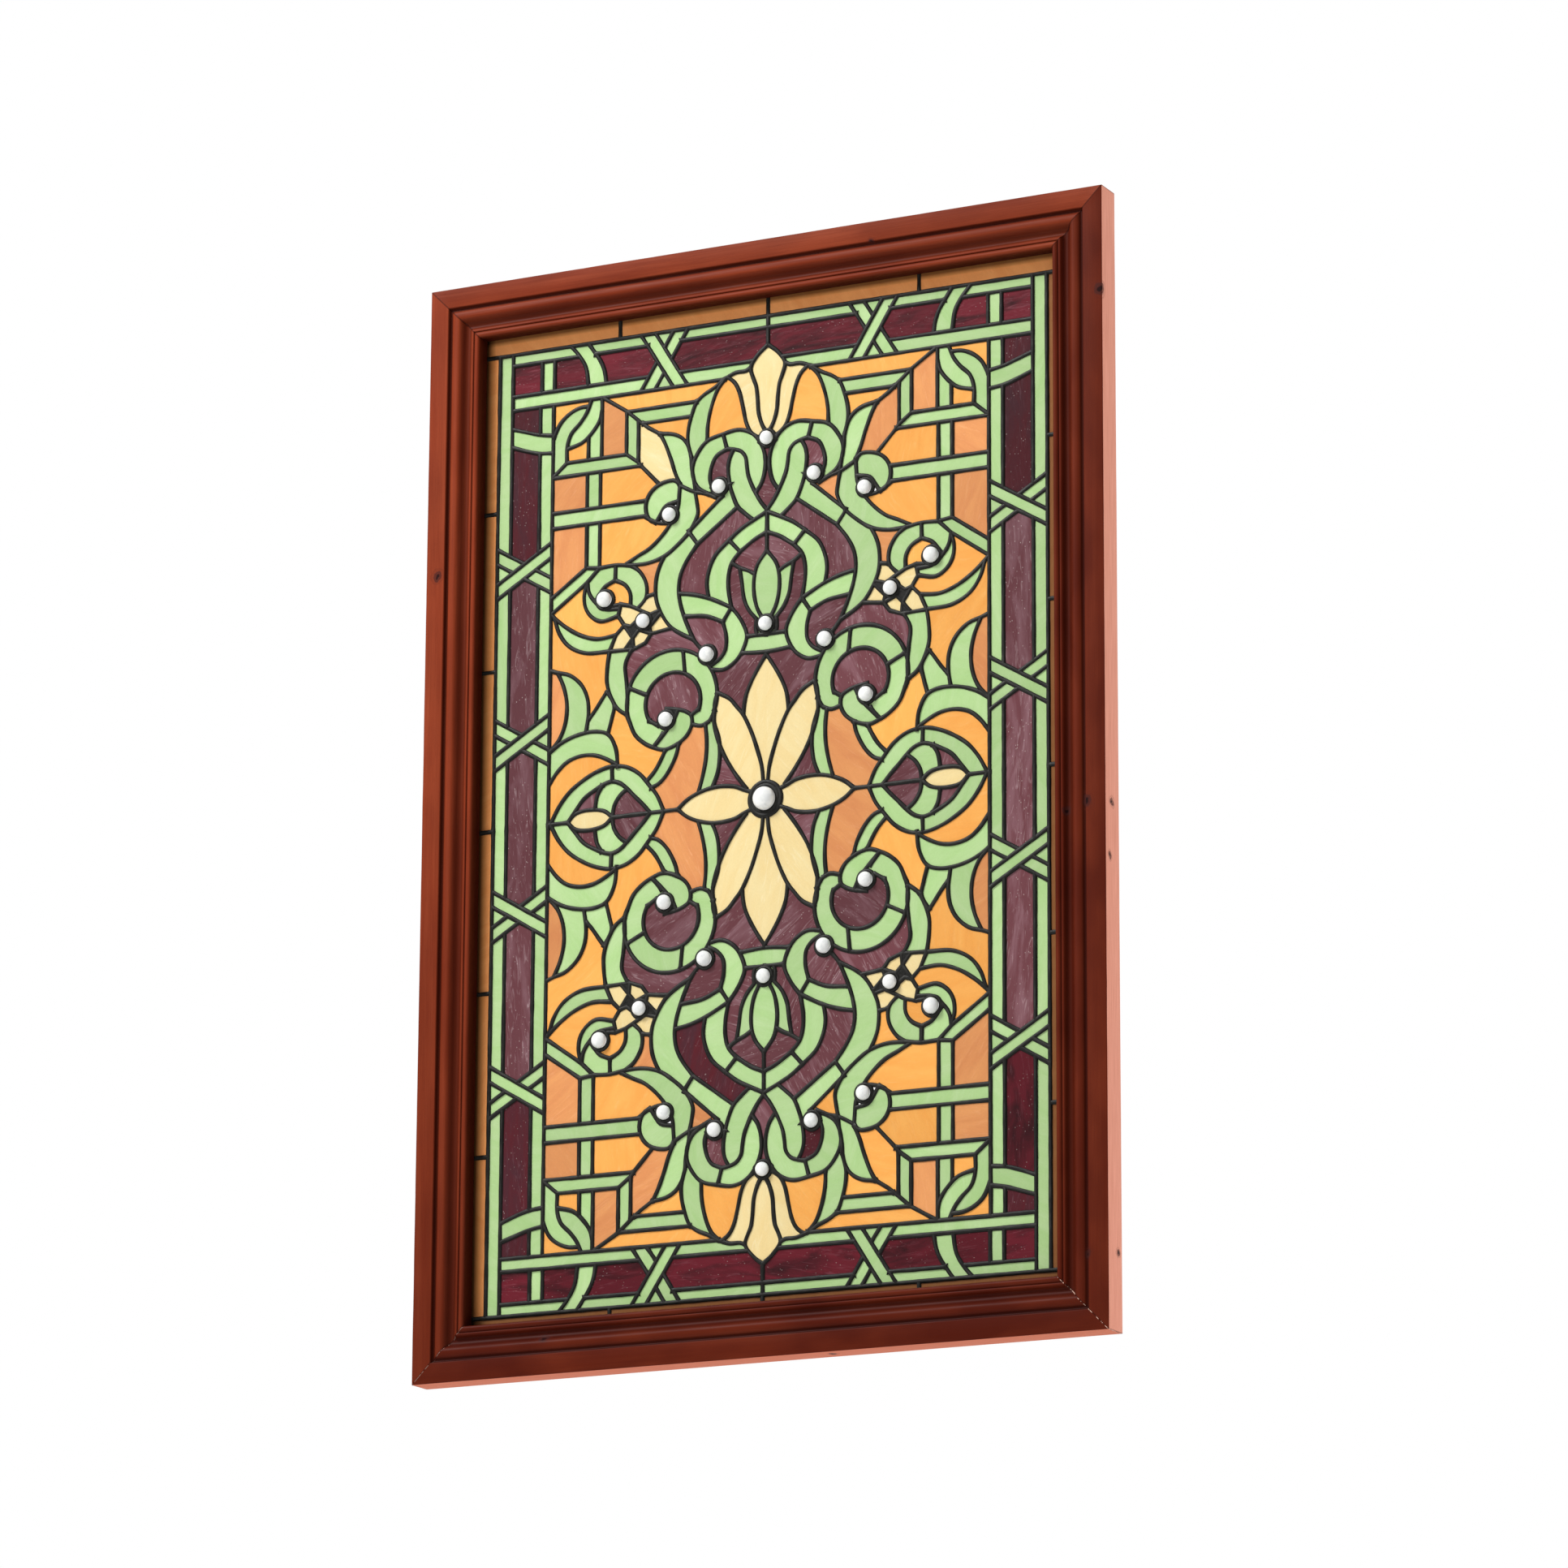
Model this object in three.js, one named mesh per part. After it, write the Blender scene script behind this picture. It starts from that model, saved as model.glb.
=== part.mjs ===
// A stained glass window panel: a leaded glass field with raised solder lines and
// round glass jewels, held in the groove of a mitred, moulded wooden frame.
// Millimetres, +X right, +Z up, the front faces -Y.
// The origin is the middle of the top rail's back face, where the panel hangs.
import * as THREE from 'three';

// ---- driving dimensions ------------------------------------------------------

const WIDTH = 610;
const HEIGHT = 915;
const DEPTH = 27.5;
const FACE = 45; // width of the wooden members, seen from the front
const JOINT_GAP = 0.22; // each mitred end stops this far short of the mitre line
const CLEARANCE = 0.3; // between pieces that touch

const GLASS_FRONT = 18.1; // depth of the glass below the front of the frame
const GLASS_THICKNESS = 3.3; // glass with the flat solder on its back
const SOLDER_RISE = 1.3; // height of the solder lines above the glass
const SOLDER_HALF_WIDTH = 1.7;
const GROOVE_DEPTH = 8.1; // how far the field reaches into the frame
const HANG_DROP = 21.25; // the mount lies this far below the frame's upper edge
const PATTERN_DROP = 5.5; // the pattern's centre lies this far below the frame's

const BORDER_Z = 403.5; // the pattern's uppermost line, from its centre
const DRAWN_BORDER_Z = 405.5; // height of the same line on the drawing below

const CURVE_TOLERANCE = 2.2; // how far a facet may cut across a curve
const STRAIGHT = 0.1; // sine of the bend below which two edges count as one
const WELD = 2; // line ends this close to each other meet in one point
const REACH = 2.4; // a line end this close to another line runs up to it

// ---- the drawing ---------------------------------------------------------------
// The centre lines of the solder in the pattern's upper right quarter, as x,z from
// the pattern's centre. Each row is one line: `straight` runs from point to point
// and `curved` is a smooth curve through the points. The other quarters mirror it.

const DRAWING = {
  border: {
    straight: `
      248.5,0 248.5,405.5;
      0,405.5 268,405.5;
      197.5,0 197.5,357;
      38,357 236.2,357;
      174,395.8 236.2,395.8;
      197,369 197,395.8;
      208.8,369 208.8,395.8;
      209.8,333 209.8,357;
      0,405.5 0,417;
      136,405.5 136,417;
      248.5,135 268,135;
      248.5,270 268,270;
      248.5,0 268,0;
      0,381 0,405.5`,
    curved: `
      165.5,405.5 160,397.5 154.3,389 150.6,380 148.8,369;
      182,405.5 174,396 168,385.5 165.3,369;
      197.5,330.8 211,333.2 222,336.6 236.2,341.2;
      197.5,315.6 211,317.2 222,320.4 236.2,325.6`,
  },
  cornerKnot: {
    straight: `
      152.2,305.2 152.2,357;
      164.6,305.2 164.6,325;
      129.2,305.2 184.4,305.2 197.5,294.2;
      114.6,293.7 197.5,293.7;
      99,276 114.6,292.5 118.2,297 129.2,305.2 129.2,342;
      118.2,297 118.2,332;
      97.5,318 109,325.2 115.5,330.2 128.5,341.6 151,356.5;
      70,329.6 115,329.6;
      63.5,341.6 128.5,341.6`,
    curved: `
      162.2,357 166.3,346.6 172.3,338.3 181,329.5 184.4,319 184.4,305.2;
      152.2,346 154.2,338.3 160.7,329 169.8,321.2 184.4,317;
      164.3,351.4 172.6,351.2 182,347.6 191,340 197.3,328`,
  },
  bigTulip: {
    curved: `
      0,381 8.7,374 15.6,363.6 13.6,355 10.6,347 9.2,336 8.2,324 5.2,314 2,308;
      15.6,363.6 20,361.4 29,361.2 40,357;
      36.8,358.6 30,352.5 25.8,344 22.5,331 19.3,317 15,308.5 8,303;
      38.5,357.4 45.6,349 51.4,334.5 54.4,320 54.9,307.3;
      40,357 48,351.4 58,346.4 65,340.5 69.4,330 72.2,319 72.6,308 69.2,294.5;
      6.8,299.6 12,305.8 19,310.3 27.6,312.3 40.4,310.4 54.9,306.4 63.6,297 68.2,286 66.8,275 62,267
        52,260.6`,
  },
  loops: {
    straight: `
      40.4,310.4 36.8,297.2;
      32,267 37,267`,
    curved: `
      6.8,299.6 2.6,289 1.9,277 5,264.6 10.5,256.5;
      36.8,297.2 30.6,296.2 24,293.6 19.8,288 18.6,280 17.2,272 14.2,264 10.5,256.5 5.5,248 0,241;
      36.8,297.2 46.4,292.4 51.3,282 52,273 49.8,266.5;
      30.6,296.2 34.2,289 35.6,281 34,267 31.6,258.5 26.6,247 20,240.4 12.3,233.8`,
  },
  leafByLoops: {
    curved: `
      69.2,294.5 72.6,305 77.5,311.8 86,316.6 98.5,318.8;
      69.2,294.5 68.9,286 66.5,273 65.6,266;
      98.5,318.8 93.8,310 88.3,296 84.2,283.5 79.6,273`,
  },
  upperCurl: {
    straight: `
      110.6,263.3 197.5,263.3;
      110,250.3 197.5,250.3;
      153,263.3 153,293.7;
      165.2,263.3 165.2,293.7;
      153,211.4 153,250.3;
      165.2,213 165.2,250.3;
      153,211.4 165.2,213 197.5,190.6;
      153,211.4 164.2,200.6 197.5,177.2`,
    curved: `
      47,257.8 57,262.3 65.6,264.6 79.6,272;
      79.6,272.6 84,276.8 91,277.2 100.5,274.4 107.5,268.3 110.8,260 109.8,251 106,245.5 101,243.4;
      101,243.4 97,250 92,256.4 80.8,259;
      65.6,264.6 63.8,255 63,245.5 69.6,232.8 81,222 93.4,213.8 108,210 124,210;
      79.6,272 80.2,264 81.2,254.2 86.4,243 95,232.2 106.4,222.5 117.5,217.2 128,211.8;
      87,241 99,242.8 107.5,247 112,250.3`,
  },
  ribbonAndCrescent: {
    straight: `
      40.4,258.2 71.2,231.6;
      26.6,247 63,220.3 71.2,231.6`,
    curved: `
      93.4,213.8 98,204.5 100.6,195 100.6,179 96,166.4 87.6,154 78,146.8 66.3,140.6;
      63,220.3 72.8,207.4 78.2,196.5 80,184.6 78.3,172 73.8,158 66.3,140.6`,
  },
  innerRibbon: {
    straight: `
      34.3,219.8 24.3,208.8;
      31.8,163 39.4,151.7;
      0,136.9 17.8,137;
      0,222.4 0,239.6;
      0,206.8 0,222.4`,
    curved: `
      0,239.6 12.3,233.8 24,227.6 34.3,219.8;
      0,222.4 11,217.6 24.3,208.8;
      34.3,219.8 46.6,208.8 52.4,196.5 54.2,186 52.8,174.6;
      24.3,208.8 31.7,200.3 34.5,190 34.5,178 31.8,163;
      79.8,180.6 67,178.2 51.6,173 31.8,163;
      39.4,151.7 54,158.2 74.5,160.8;
      31.8,163 25.8,155.6 20.6,147 17.6,138 20.2,128 27,118 37.6,112 49.4,112.8;
      39.4,151.7 36.4,140 37,128 42.4,120.8 49.4,117;
      0,122 11,122.6 22.6,123.8;
      58,131 61.6,134.6 66.3,140.6`,
  },
  smallTulip: {
    curved: `
      0,206.8 8.4,195.6 11.3,185 11.3,172 8.6,160 4,151;
      11.4,188.6 17,192 24.4,195.2 31.8,200.4;
      24.4,195.2 22.4,183 20.2,168.4 15.8,158.6 8.6,150;
      9.2,148 9.6,142 8,137`,
  },
  ringScroll: {
    straight: `
      138,212 138.3,199.2`,
    curved: `
      124,210 116,204 109.6,192.5 109.8,181 117.6,172.4;
      124,210 138,212 153,211.4;
      138.3,199.2 129.3,194.2 124.4,186.4 124,175.8;
      138.3,199.2 147.5,195 153,188.6 157,183.4;
      164.2,200.6 162.2,191 157,183.4 149,176.4 134,174.4;
      164.2,200.6 166.8,190 165.6,179.6 160.4,171.4 151,166 135.2,168.6;
      137,152.6 154.5,151.6 170,156.6 184,165.3 197.5,177.2;
      194,173.4 189.6,160.4 180.6,148.6 165.5,141 142.8,139.6`,
  },
  smallFlower: {
    straight: `
      100.6,183.2 109.7,181.8;
      98.4,168.4 106.4,166.2 117.6,172.4 124,175.8 133,178.2 135.2,168.6 129.6,160 137,152.6 142.8,139.6;
      129.6,160 123.6,158.2 116.4,163.6;
      133,178.2 140.5,177.6;
      97.2,165.2 106.4,155.6 104.6,150 86,152.4;
      104.6,150 110,142.8 120.6,138.8 121.6,148.2 116,154.6 104.6,150;
      129.6,160 121.6,148.2 128.4,139.6`,
  },
  diskScroll: {
    straight: `
      105.4,76.8 97,71.6;
      93,64.6 101.8,54.2;
      73.6,113 75.4,132.8;
      108,98.6 124.2,106.4`,
    curved: `
      124,78.5 118.5,66.5 110,58.6 101.8,54.2 92,51.2 80.6,54.2 71,61 66.8,69.4 67.6,77 73.4,81.2
        81,83.6 90,85;
      50.7,70.2 58,67.4 66.8,69.4;
      60.7,81.4 64,79.4 67.6,77;
      79.6,82.6 83,75 89.4,67 101.8,54.2`,
  },
  sRibbonAndLeaves: {
    straight: `
      120.6,138.8 142.8,139.6`,
    curved: `
      122.4,139 128.2,127 127,112 125.8,97 126.4,84.4;
      142.8,139.6 144.6,127 144.8,113 140.4,99.6 134.4,90 126.4,84.4;
      126.4,84.4 125.4,81 124,78.5;
      144.8,106 138,93.6 139.8,83.6 143,71.8;
      144.8,106 149.5,99.6 156,90.6 161.4,84.4;
      197.5,129.8 190.4,127.2 179.4,123.8 168.6,114.6 162.8,103 161.4,90 163.4,75;
      190.4,127.2 184.6,114 181.6,100 182.6,84.6 188,71 197.5,60.4;
      126.4,84.4 131,87.2 137.4,92.6`,
  },
  sideBud: {
    straight: `
      139.4,42.7 139,30;
      79,0 138.4,0;
      179.4,0 197.5,0`,
    curved: `
      133.9,40 134.2,43 136,57 143,69.6 154.4,73.6 171,72.6 186,67.6 197.5,60.4;
      134.2,43 144.4,49.2 155,53.6 167.6,54.6 180,51.2 189,44 197.5,33;
      91.6,0 97.8,13.6 105,23 114,33.4 126,40.6 139.4,42.7 153,39.7 165.4,34 178.4,25 188,13.6 195.5,0;
      104,0 110,7 118,15 125.2,22.4 131.6,27.6 139,30 146,28.6 153.4,25.2 164.4,18.6 173,8.4 179.4,0;
      125.2,22.4 132,17 137,9 138.4,0;
      147.6,28.2 152.4,20 154.6,8;
      138.4,0 146,6 160,8.4 172.4,6.4 179.4,0`,
  },
  leavesByFlower: {
    curved: `
      78.4,55.4 81,45 89,30.6 97,23 104.6,20.6;
      90.4,51.4 94,44 100,34.4 107.6,26.4;
      46.4,78 46.6,68 43.3,54.5 37,39.6 27.2,23.6 17.2,10.4;
      46.6,68 42.4,55 41.2,44 43,27 47.6,15;
      54.6,69 53.2,55 53.6,41 56.2,26.4 60.4,11.6`,
  },
  centreFlower: {
    curved: `
      0,120 6.8,109.8 13.8,97.6 18.4,86 20.4,72;
      43.6,93 33,87 26,79 20.4,72 13,57 7.6,42 3.4,27 1.8,12;
      43.6,93 46,86 46.4,78;
      12,7 19,9.6 28,13.4 45.6,14.8 60.4,11.6 71,6.6 79,0`,
  },
};

// The ring of the disk scroll: centre, radius, first and last angle of its two edges.
const DISK_ARCS = [[85.3, 92.6, 41.2, -20, 213], [84.2, 90, 25, -32, 200]];

// The jewels of the upper right quarter: x, z and radius. The first ones are
// mirrored into all four quarters, the next two into the upper and lower half.
const QUARTER_JEWELS = [
  [43, 266, 6.2], [88.3, 248, 6.2], [147.3, 183.7, 6.8],
  [111.3, 161, 6.2], [53.1, 125.9, 6.6], [89.8, 75.9, 6.4],
];
const AXIS_JEWELS = [[0, 301.4, 6], [0, 145.3, 6.2]];
const CENTRE_JEWEL = [0, 0, 10];
const JEWEL_RISE = 0.68; // height of a jewel, in its radii
const SMALL_SIDES = 8;
const CENTRE_SIDES = 12;

// ---- derived sizes -------------------------------------------------------------

const FIELD_X = WIDTH / 2 - FACE + GROOVE_DEPTH - CLEARANCE;
const FIELD_UP = HEIGHT / 2 - FACE + GROOVE_DEPTH - CLEARANCE + PATTERN_DROP;
const FIELD_DOWN = FIELD_UP - 2 * PATTERN_DROP;
const Z_SCALE = BORDER_Z / DRAWN_BORDER_Z;
const JEWEL_SEAT = GLASS_FRONT - SOLDER_RISE;
const HANG = new THREE.Vector3(0, DEPTH, HEIGHT / 2 - HANG_DROP); // from the frame's centre

// ---- lines of the drawing ------------------------------------------------------

function rows(text) {
  return text.split(';').map((row) => row.trim().split(/\s+/).map((pair) => {
    const [x, z] = pair.split(',').map(Number);
    return { x, z: z * Z_SCALE };
  }));
}

function distanceToSegment(p, a, b) {
  const dx = b.x - a.x;
  const dz = b.z - a.z;
  const along = ((p.x - a.x) * dx + (p.z - a.z) * dz) / (dx * dx + dz * dz || 1);
  const t = Math.min(1, Math.max(0, along));
  const foot = { x: a.x + dx * t, z: a.z + dz * t };
  return { t, foot, distance: Math.hypot(p.x - foot.x, p.z - foot.z) };
}

// Keeps the points that the line needs to stay within the tolerance.
function simplify(points) {
  let worst = 0;
  let index = 0;
  for (let i = 1; i < points.length - 1; i += 1) {
    const { distance } = distanceToSegment(points[i], points[0], points.at(-1));
    if (distance > worst) {
      worst = distance;
      index = i;
    }
  }
  if (worst < CURVE_TOLERANCE) return [points[0], points.at(-1)];
  return [...simplify(points.slice(0, index + 1)).slice(0, -1), ...simplify(points.slice(index))];
}

function smooth(points) {
  const curve = new THREE.CatmullRomCurve3(
    points.map((p) => new THREE.Vector3(p.x, p.z, 0)), false, 'centripetal');
  return simplify(curve.getPoints(points.length * 8).map((v) => ({ x: v.x, z: v.y })));
}

function arc(cx, cz, radius, from, to, sides) {
  return Array.from({ length: sides + 1 }, (_, i) => {
    const angle = THREE.MathUtils.degToRad(from + ((to - from) * i) / sides);
    return { x: cx + radius * Math.cos(angle), z: (cz + radius * Math.sin(angle)) * Z_SCALE };
  });
}

// Two strips that cross like an X on a band. The place is given along the band (u)
// and across it (v). One strip passes over, so the other one's lines stop at it.
function crossing({ place, run, half, slope }) {
  const lines = [];
  for (const edge of [-half, half]) {
    lines.push([place(-run, edge - slope * run), place(run, edge + slope * run)]);
    const stops = [(edge - half) / (2 * slope), (edge + half) / (2 * slope)];
    lines.push([place(-run, edge + slope * run), place(stops[0], edge - slope * stops[0])]);
    lines.push([place(stops[1], edge - slope * stops[1]), place(run, edge - slope * run)]);
  }
  return lines;
}

const SIDE_BAND = { low: 197.5, inner: 209.8, outer: 236.2, high: 248.5 };
const TOP_BAND = { low: 357, inner: 369, outer: 395.8, high: 405.5 };
const SQUEEZE = { from: 335, to: 373, by: 4 }; // what the lower band loses, by height
const SIDE_CROSSINGS = [72, 217.5];
const SIDE_STRIP = { half: 6.35, slope: 0.596 };
const TOP_STRIP = { half: 6.6, slope: 0.62 };
const TOP_CROSSING = 95;

// A line along a band, broken where the strips of the crossings pass over it.
function brokenLine(from, to, crossings, reach, place) {
  const lines = [];
  let start = from;
  for (const at of crossings) {
    lines.push([place(start), place(at - reach)]);
    start = at + reach;
  }
  lines.push([place(start), place(to)]);
  return lines;
}

function bandLines() {
  const point = (x, z) => ({ x, z: z * Z_SCALE });
  const lines = [];
  const middleX = (SIDE_BAND.low + SIDE_BAND.high) / 2;
  for (const at of SIDE_CROSSINGS) {
    lines.push(...crossing({
      place: (u, v) => point(middleX + u, at - v), run: middleX - SIDE_BAND.low, ...SIDE_STRIP }));
  }
  const sideReach = SIDE_STRIP.half + SIDE_STRIP.slope * (middleX - SIDE_BAND.inner);
  const along = (x) => (z) => point(x, z);
  lines.push(...brokenLine(0, 317.2, SIDE_CROSSINGS, sideReach, along(SIDE_BAND.inner)));
  lines.push(...brokenLine(0, TOP_BAND.high, SIDE_CROSSINGS, sideReach, along(SIDE_BAND.outer)));

  const middleZ = (TOP_BAND.low + TOP_BAND.high) / 2;
  lines.push(...crossing({
    place: (u, v) => point(TOP_CROSSING + v, middleZ + u), run: middleZ - TOP_BAND.low, ...TOP_STRIP }));
  const topReach = TOP_STRIP.half + TOP_STRIP.slope * (middleZ - TOP_BAND.inner);
  const across = (z) => (x) => point(x, z);
  lines.push(...brokenLine(13, SIDE_BAND.outer, [TOP_CROSSING], topReach, across(TOP_BAND.inner)));
  lines.push(...brokenLine(0, 160, [TOP_CROSSING], topReach, across(TOP_BAND.outer)));
  return lines;
}

function jewelCollar([x, z, radius], sides) {
  const reach = (radius + SOLDER_HALF_WIDTH) / Math.cos(Math.PI / sides);
  return { x, z: z * Z_SCALE, apothem: radius + SOLDER_HALF_WIDTH, sides, reach };
}

const COLLARS = [
  ...QUARTER_JEWELS.map((jewel) => jewelCollar(jewel, SMALL_SIDES)),
  ...AXIS_JEWELS.map((jewel) => jewelCollar(jewel, SMALL_SIDES)),
  jewelCollar(CENTRE_JEWEL, CENTRE_SIDES),
];

function collarLines({ x, z, reach, sides }) {
  const corner = (i) => {
    const angle = ((i + 0.5) / sides) * 2 * Math.PI;
    return { x: x + reach * Math.cos(angle), z: z + reach * Math.sin(angle) };
  };
  const lines = [];
  for (let i = 0; i < sides; i += 1) {
    const a = corner(i);
    const b = corner(i + 1);
    if (a.x < -0.01 && b.x < -0.01) continue;
    if (a.z < -0.01 && b.z < -0.01) continue;
    lines.push([a, b]);
  }
  return lines;
}

// ---- from lines to tiles -------------------------------------------------------
// The quarter is the rectangle from the pattern's centre to the field's edge. Its
// four sides are `open`: they carry no solder of their own.

const QUARTER_Z = BORDER_Z + 12; // stands for the field's upper and lower edge
const OPEN_LINES = [
  [{ x: 0, z: 0 }, { x: FIELD_X, z: 0 }],
  [{ x: FIELD_X, z: 0 }, { x: FIELD_X, z: QUARTER_Z }],
  [{ x: FIELD_X, z: QUARTER_Z }, { x: 0, z: QUARTER_Z }],
  [{ x: 0, z: QUARTER_Z }, { x: 0, z: 0 }],
];

function toSegments(lines, open) {
  return lines.flatMap((line) => line.slice(1).map((b, i) => ({ a: line[i], b, open })));
}

// Runs each loose end of a line up to the line beside it.
function joinEnds(lines) {
  const all = lines.map((line) => toSegments([line]));
  const edges = toSegments(OPEN_LINES);
  return lines.map((line, own) => {
    const reachFrom = (end) => {
      let best = { distance: REACH };
      for (const segment of [...all.filter((_, i) => i !== own).flat(), ...edges]) {
        const found = distanceToSegment(end, segment.a, segment.b);
        if (found.distance < best.distance) best = found;
      }
      return best.foot && best.distance > 0.01 ? [best.foot] : [];
    };
    return [...reachFrom(line[0]).reverse(), ...line, ...reachFrom(line.at(-1))];
  });
}

function crossingPoint(s, t) {
  const sx = s.b.x - s.a.x;
  const sz = s.b.z - s.a.z;
  const tx = t.b.x - t.a.x;
  const tz = t.b.z - t.a.z;
  const turn = sx * tz - sz * tx;
  if (Math.abs(turn) < 1e-9) return null;
  const u = ((t.a.x - s.a.x) * tz - (t.a.z - s.a.z) * tx) / turn;
  const v = ((t.a.x - s.a.x) * sz - (t.a.z - s.a.z) * sx) / turn;
  if (u < 0 || u > 1 || v < 0 || v > 1) return null;
  return { x: s.a.x + sx * u, z: s.a.z + sz * u };
}

// Cuts the segments where they cross or touch, and welds neighbouring ends, so that
// what is left is a plane graph of points and edges.
function toGraph(segments) {
  const cuts = segments.map(({ a, b }) => [a, b]);
  for (let i = 0; i < segments.length; i += 1) {
    for (let j = 0; j < segments.length; j += 1) {
      if (i === j) continue;
      const point = i < j ? crossingPoint(segments[i], segments[j]) : null;
      if (point) {
        cuts[i].push(point);
        cuts[j].push(point);
      }
      for (const end of [segments[j].a, segments[j].b]) {
        const { foot, distance } = distanceToSegment(end, segments[i].a, segments[i].b);
        if (distance < WELD / 2) cuts[i].push(foot);
      }
    }
  }
  const points = [];
  const weld = (p) => {
    let best = -1;
    let nearest = WELD;
    points.forEach((q, i) => {
      const distance = Math.hypot(p.x - q.x, p.z - q.z);
      if (distance < nearest) {
        nearest = distance;
        best = i;
      }
    });
    return best < 0 ? points.push(p) - 1 : best;
  };
  const edges = new Map();
  segments.forEach(({ a, b, open }, i) => {
    const along = (p) => (p.x - a.x) * (b.x - a.x) + (p.z - a.z) * (b.z - a.z);
    const chain = cuts[i].sort((p, q) => along(p) - along(q)).map(weld);
    for (let k = 1; k < chain.length; k += 1) {
      const [from, to] = [chain[k - 1], chain[k]];
      if (from === to) continue;
      const key = from < to ? `${from}|${to}` : `${to}|${from}`;
      const known = edges.get(key);
      edges.set(key, { from, to, open: open && (known?.open ?? true) });
    }
  });
  return { points, edges: [...edges.values()] };
}

function withoutLooseEnds({ points, edges }) {
  let kept = edges;
  for (;;) {
    const uses = new Map();
    for (const { from, to } of kept) {
      uses.set(from, (uses.get(from) ?? 0) + 1);
      uses.set(to, (uses.get(to) ?? 0) + 1);
    }
    const next = kept.filter(({ from, to }) => uses.get(from) > 1 && uses.get(to) > 1);
    if (next.length === kept.length) return { points, edges: kept };
    kept = next;
  }
}

function outsideCollars({ points, edges }) {
  const inside = (p) => COLLARS.some(
    ({ x, z, apothem }) => Math.hypot(p.x - x, p.z - z) < apothem * 0.9);
  return {
    points,
    edges: edges.filter(({ from, to, open }) => open || !inside({
      x: (points[from].x + points[to].x) / 2, z: (points[from].z + points[to].z) / 2 })),
  };
}

function area(loop) {
  return loop.reduce((sum, p, i) => {
    const q = loop[(i + 1) % loop.length];
    return sum + (p.x * q.z - q.x * p.z) / 2;
  }, 0);
}

// The faces of the graph, each a loop that runs anticlockwise, with whether the
// edge after each point is open.
function tiles({ points, edges }) {
  const around = points.map(() => []);
  for (const { from, to, open } of edges) {
    around[from].push({ from, to, open });
    around[to].push({ from: to, to: from, open });
  }
  const angle = ({ from, to }) => Math.atan2(points[to].z - points[from].z, points[to].x - points[from].x);
  around.forEach((list) => list.sort((a, b) => angle(a) - angle(b)));
  const used = new Set();
  const loops = [];
  for (const first of around.flat()) {
    if (used.has(first)) continue;
    const loop = [];
    let edge = first;
    do {
      used.add(edge);
      loop.push({ ...points[edge.from], open: edge.open });
      const list = around[edge.to];
      const back = list.findIndex(({ to }) => to === edge.from);
      edge = list[(back + list.length - 1) % list.length];
    } while (edge !== first);
    if (area(loop) > 0) loops.push(loop);
  }
  return loops;
}

// ---- the bevel from the solder's ridge down to the glass --------------------------

// Moves every edge of a loop inwards by the solder's half width times `share`; open
// edges stay. An edge that shrinks to nothing drops out, as in a hip roof. Returns
// the inner corner that each corner of the loop runs to, or null if nothing is left.
function inset(loop, share) {
  const count = loop.length;
  const sides = loop.map((a, i) => {
    const b = loop[(i + 1) % count];
    const length = Math.hypot(b.x - a.x, b.z - a.z);
    const normal = { x: -(b.z - a.z) / length, z: (b.x - a.x) / length };
    return { index: i, a, b, normal, speed: a.open ? 0 : SOLDER_HALF_WIDTH * share };
  });
  const moved = (side, t) => side.normal.x * side.a.x + side.normal.z * side.a.z + side.speed * t;
  const corner = (s, r, t) => {
    const turn = s.normal.x * r.normal.z - s.normal.z * r.normal.x;
    const cs = moved(s, t);
    const cr = moved(r, t);
    if (Math.abs(turn) < 1e-3) {
      const p = (s.index + 1) % count === r.index ? r.a : { x: (s.b.x + r.a.x) / 2, z: (s.b.z + r.a.z) / 2 };
      const speed = Math.max(s.speed, r.speed);
      return { x: p.x + r.normal.x * speed * t, z: p.z + r.normal.z * speed * t };
    }
    return { x: (cs * r.normal.z - cr * s.normal.z) / turn, z: (cr * s.normal.x - cs * r.normal.x) / turn };
  };
  const goesStraightOn = (side, i) => {
    const before = sides[(i + count - 1) % count];
    const bend = before.normal.x * side.normal.z - before.normal.z * side.normal.x;
    return Math.abs(bend) < STRAIGHT && before.speed === side.speed;
  };
  let active = sides.filter((side, i) => !goesStraightOn(side, i));
  const lengthAt = (i, t) => {
    const n = active.length;
    const [p, s, q] = [active[(i + n - 1) % n], active[i], active[(i + 1) % n]];
    const from = corner(p, s, t);
    const to = corner(s, q, t);
    return (to.x - from.x) * s.normal.z - (to.z - from.z) * s.normal.x;
  };
  let now = 0;
  for (;;) {
    if (active.length < 3) return null;
    let drop = -1;
    let soonest = 1;
    for (let i = 0; i < active.length; i += 1) {
      const end = lengthAt(i, 1);
      const start = lengthAt(i, now);
      if (end > 0.02) continue;
      const at = now + ((1 - now) * Math.max(start, 0)) / Math.max(start - end, 1e-9);
      if (at < soonest) {
        soonest = at;
        drop = i;
      }
    }
    if (drop < 0) break;
    now = Math.max(now, soonest);
    active = active.filter((_, i) => i !== drop);
  }
  const inner = active.map((s, i) => corner(s, active[(i + 1) % active.length], 1));
  const corners = loop.map((_, k) => {
    let last = active.length - 1;
    active.forEach((s, i) => {
      if (k > 0 && s.index < k) last = i;
    });
    return last;
  });
  return { inner, corners };
}

function turn(p, q, r) {
  return (q.x - p.x) * (r.z - p.z) - (r.x - p.x) * (q.z - p.z);
}

function isSimple(loop) {
  const cross = (a, b, c, d) => turn(a, b, c) * turn(a, b, d) < -1e-6;
  return loop.every((a, i) => {
    const b = loop[(i + 1) % loop.length];
    return loop.every((c, j) => {
      const d = loop[(j + 1) % loop.length];
      return !(cross(a, b, c, d) && cross(c, d, a, b));
    });
  });
}

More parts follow.
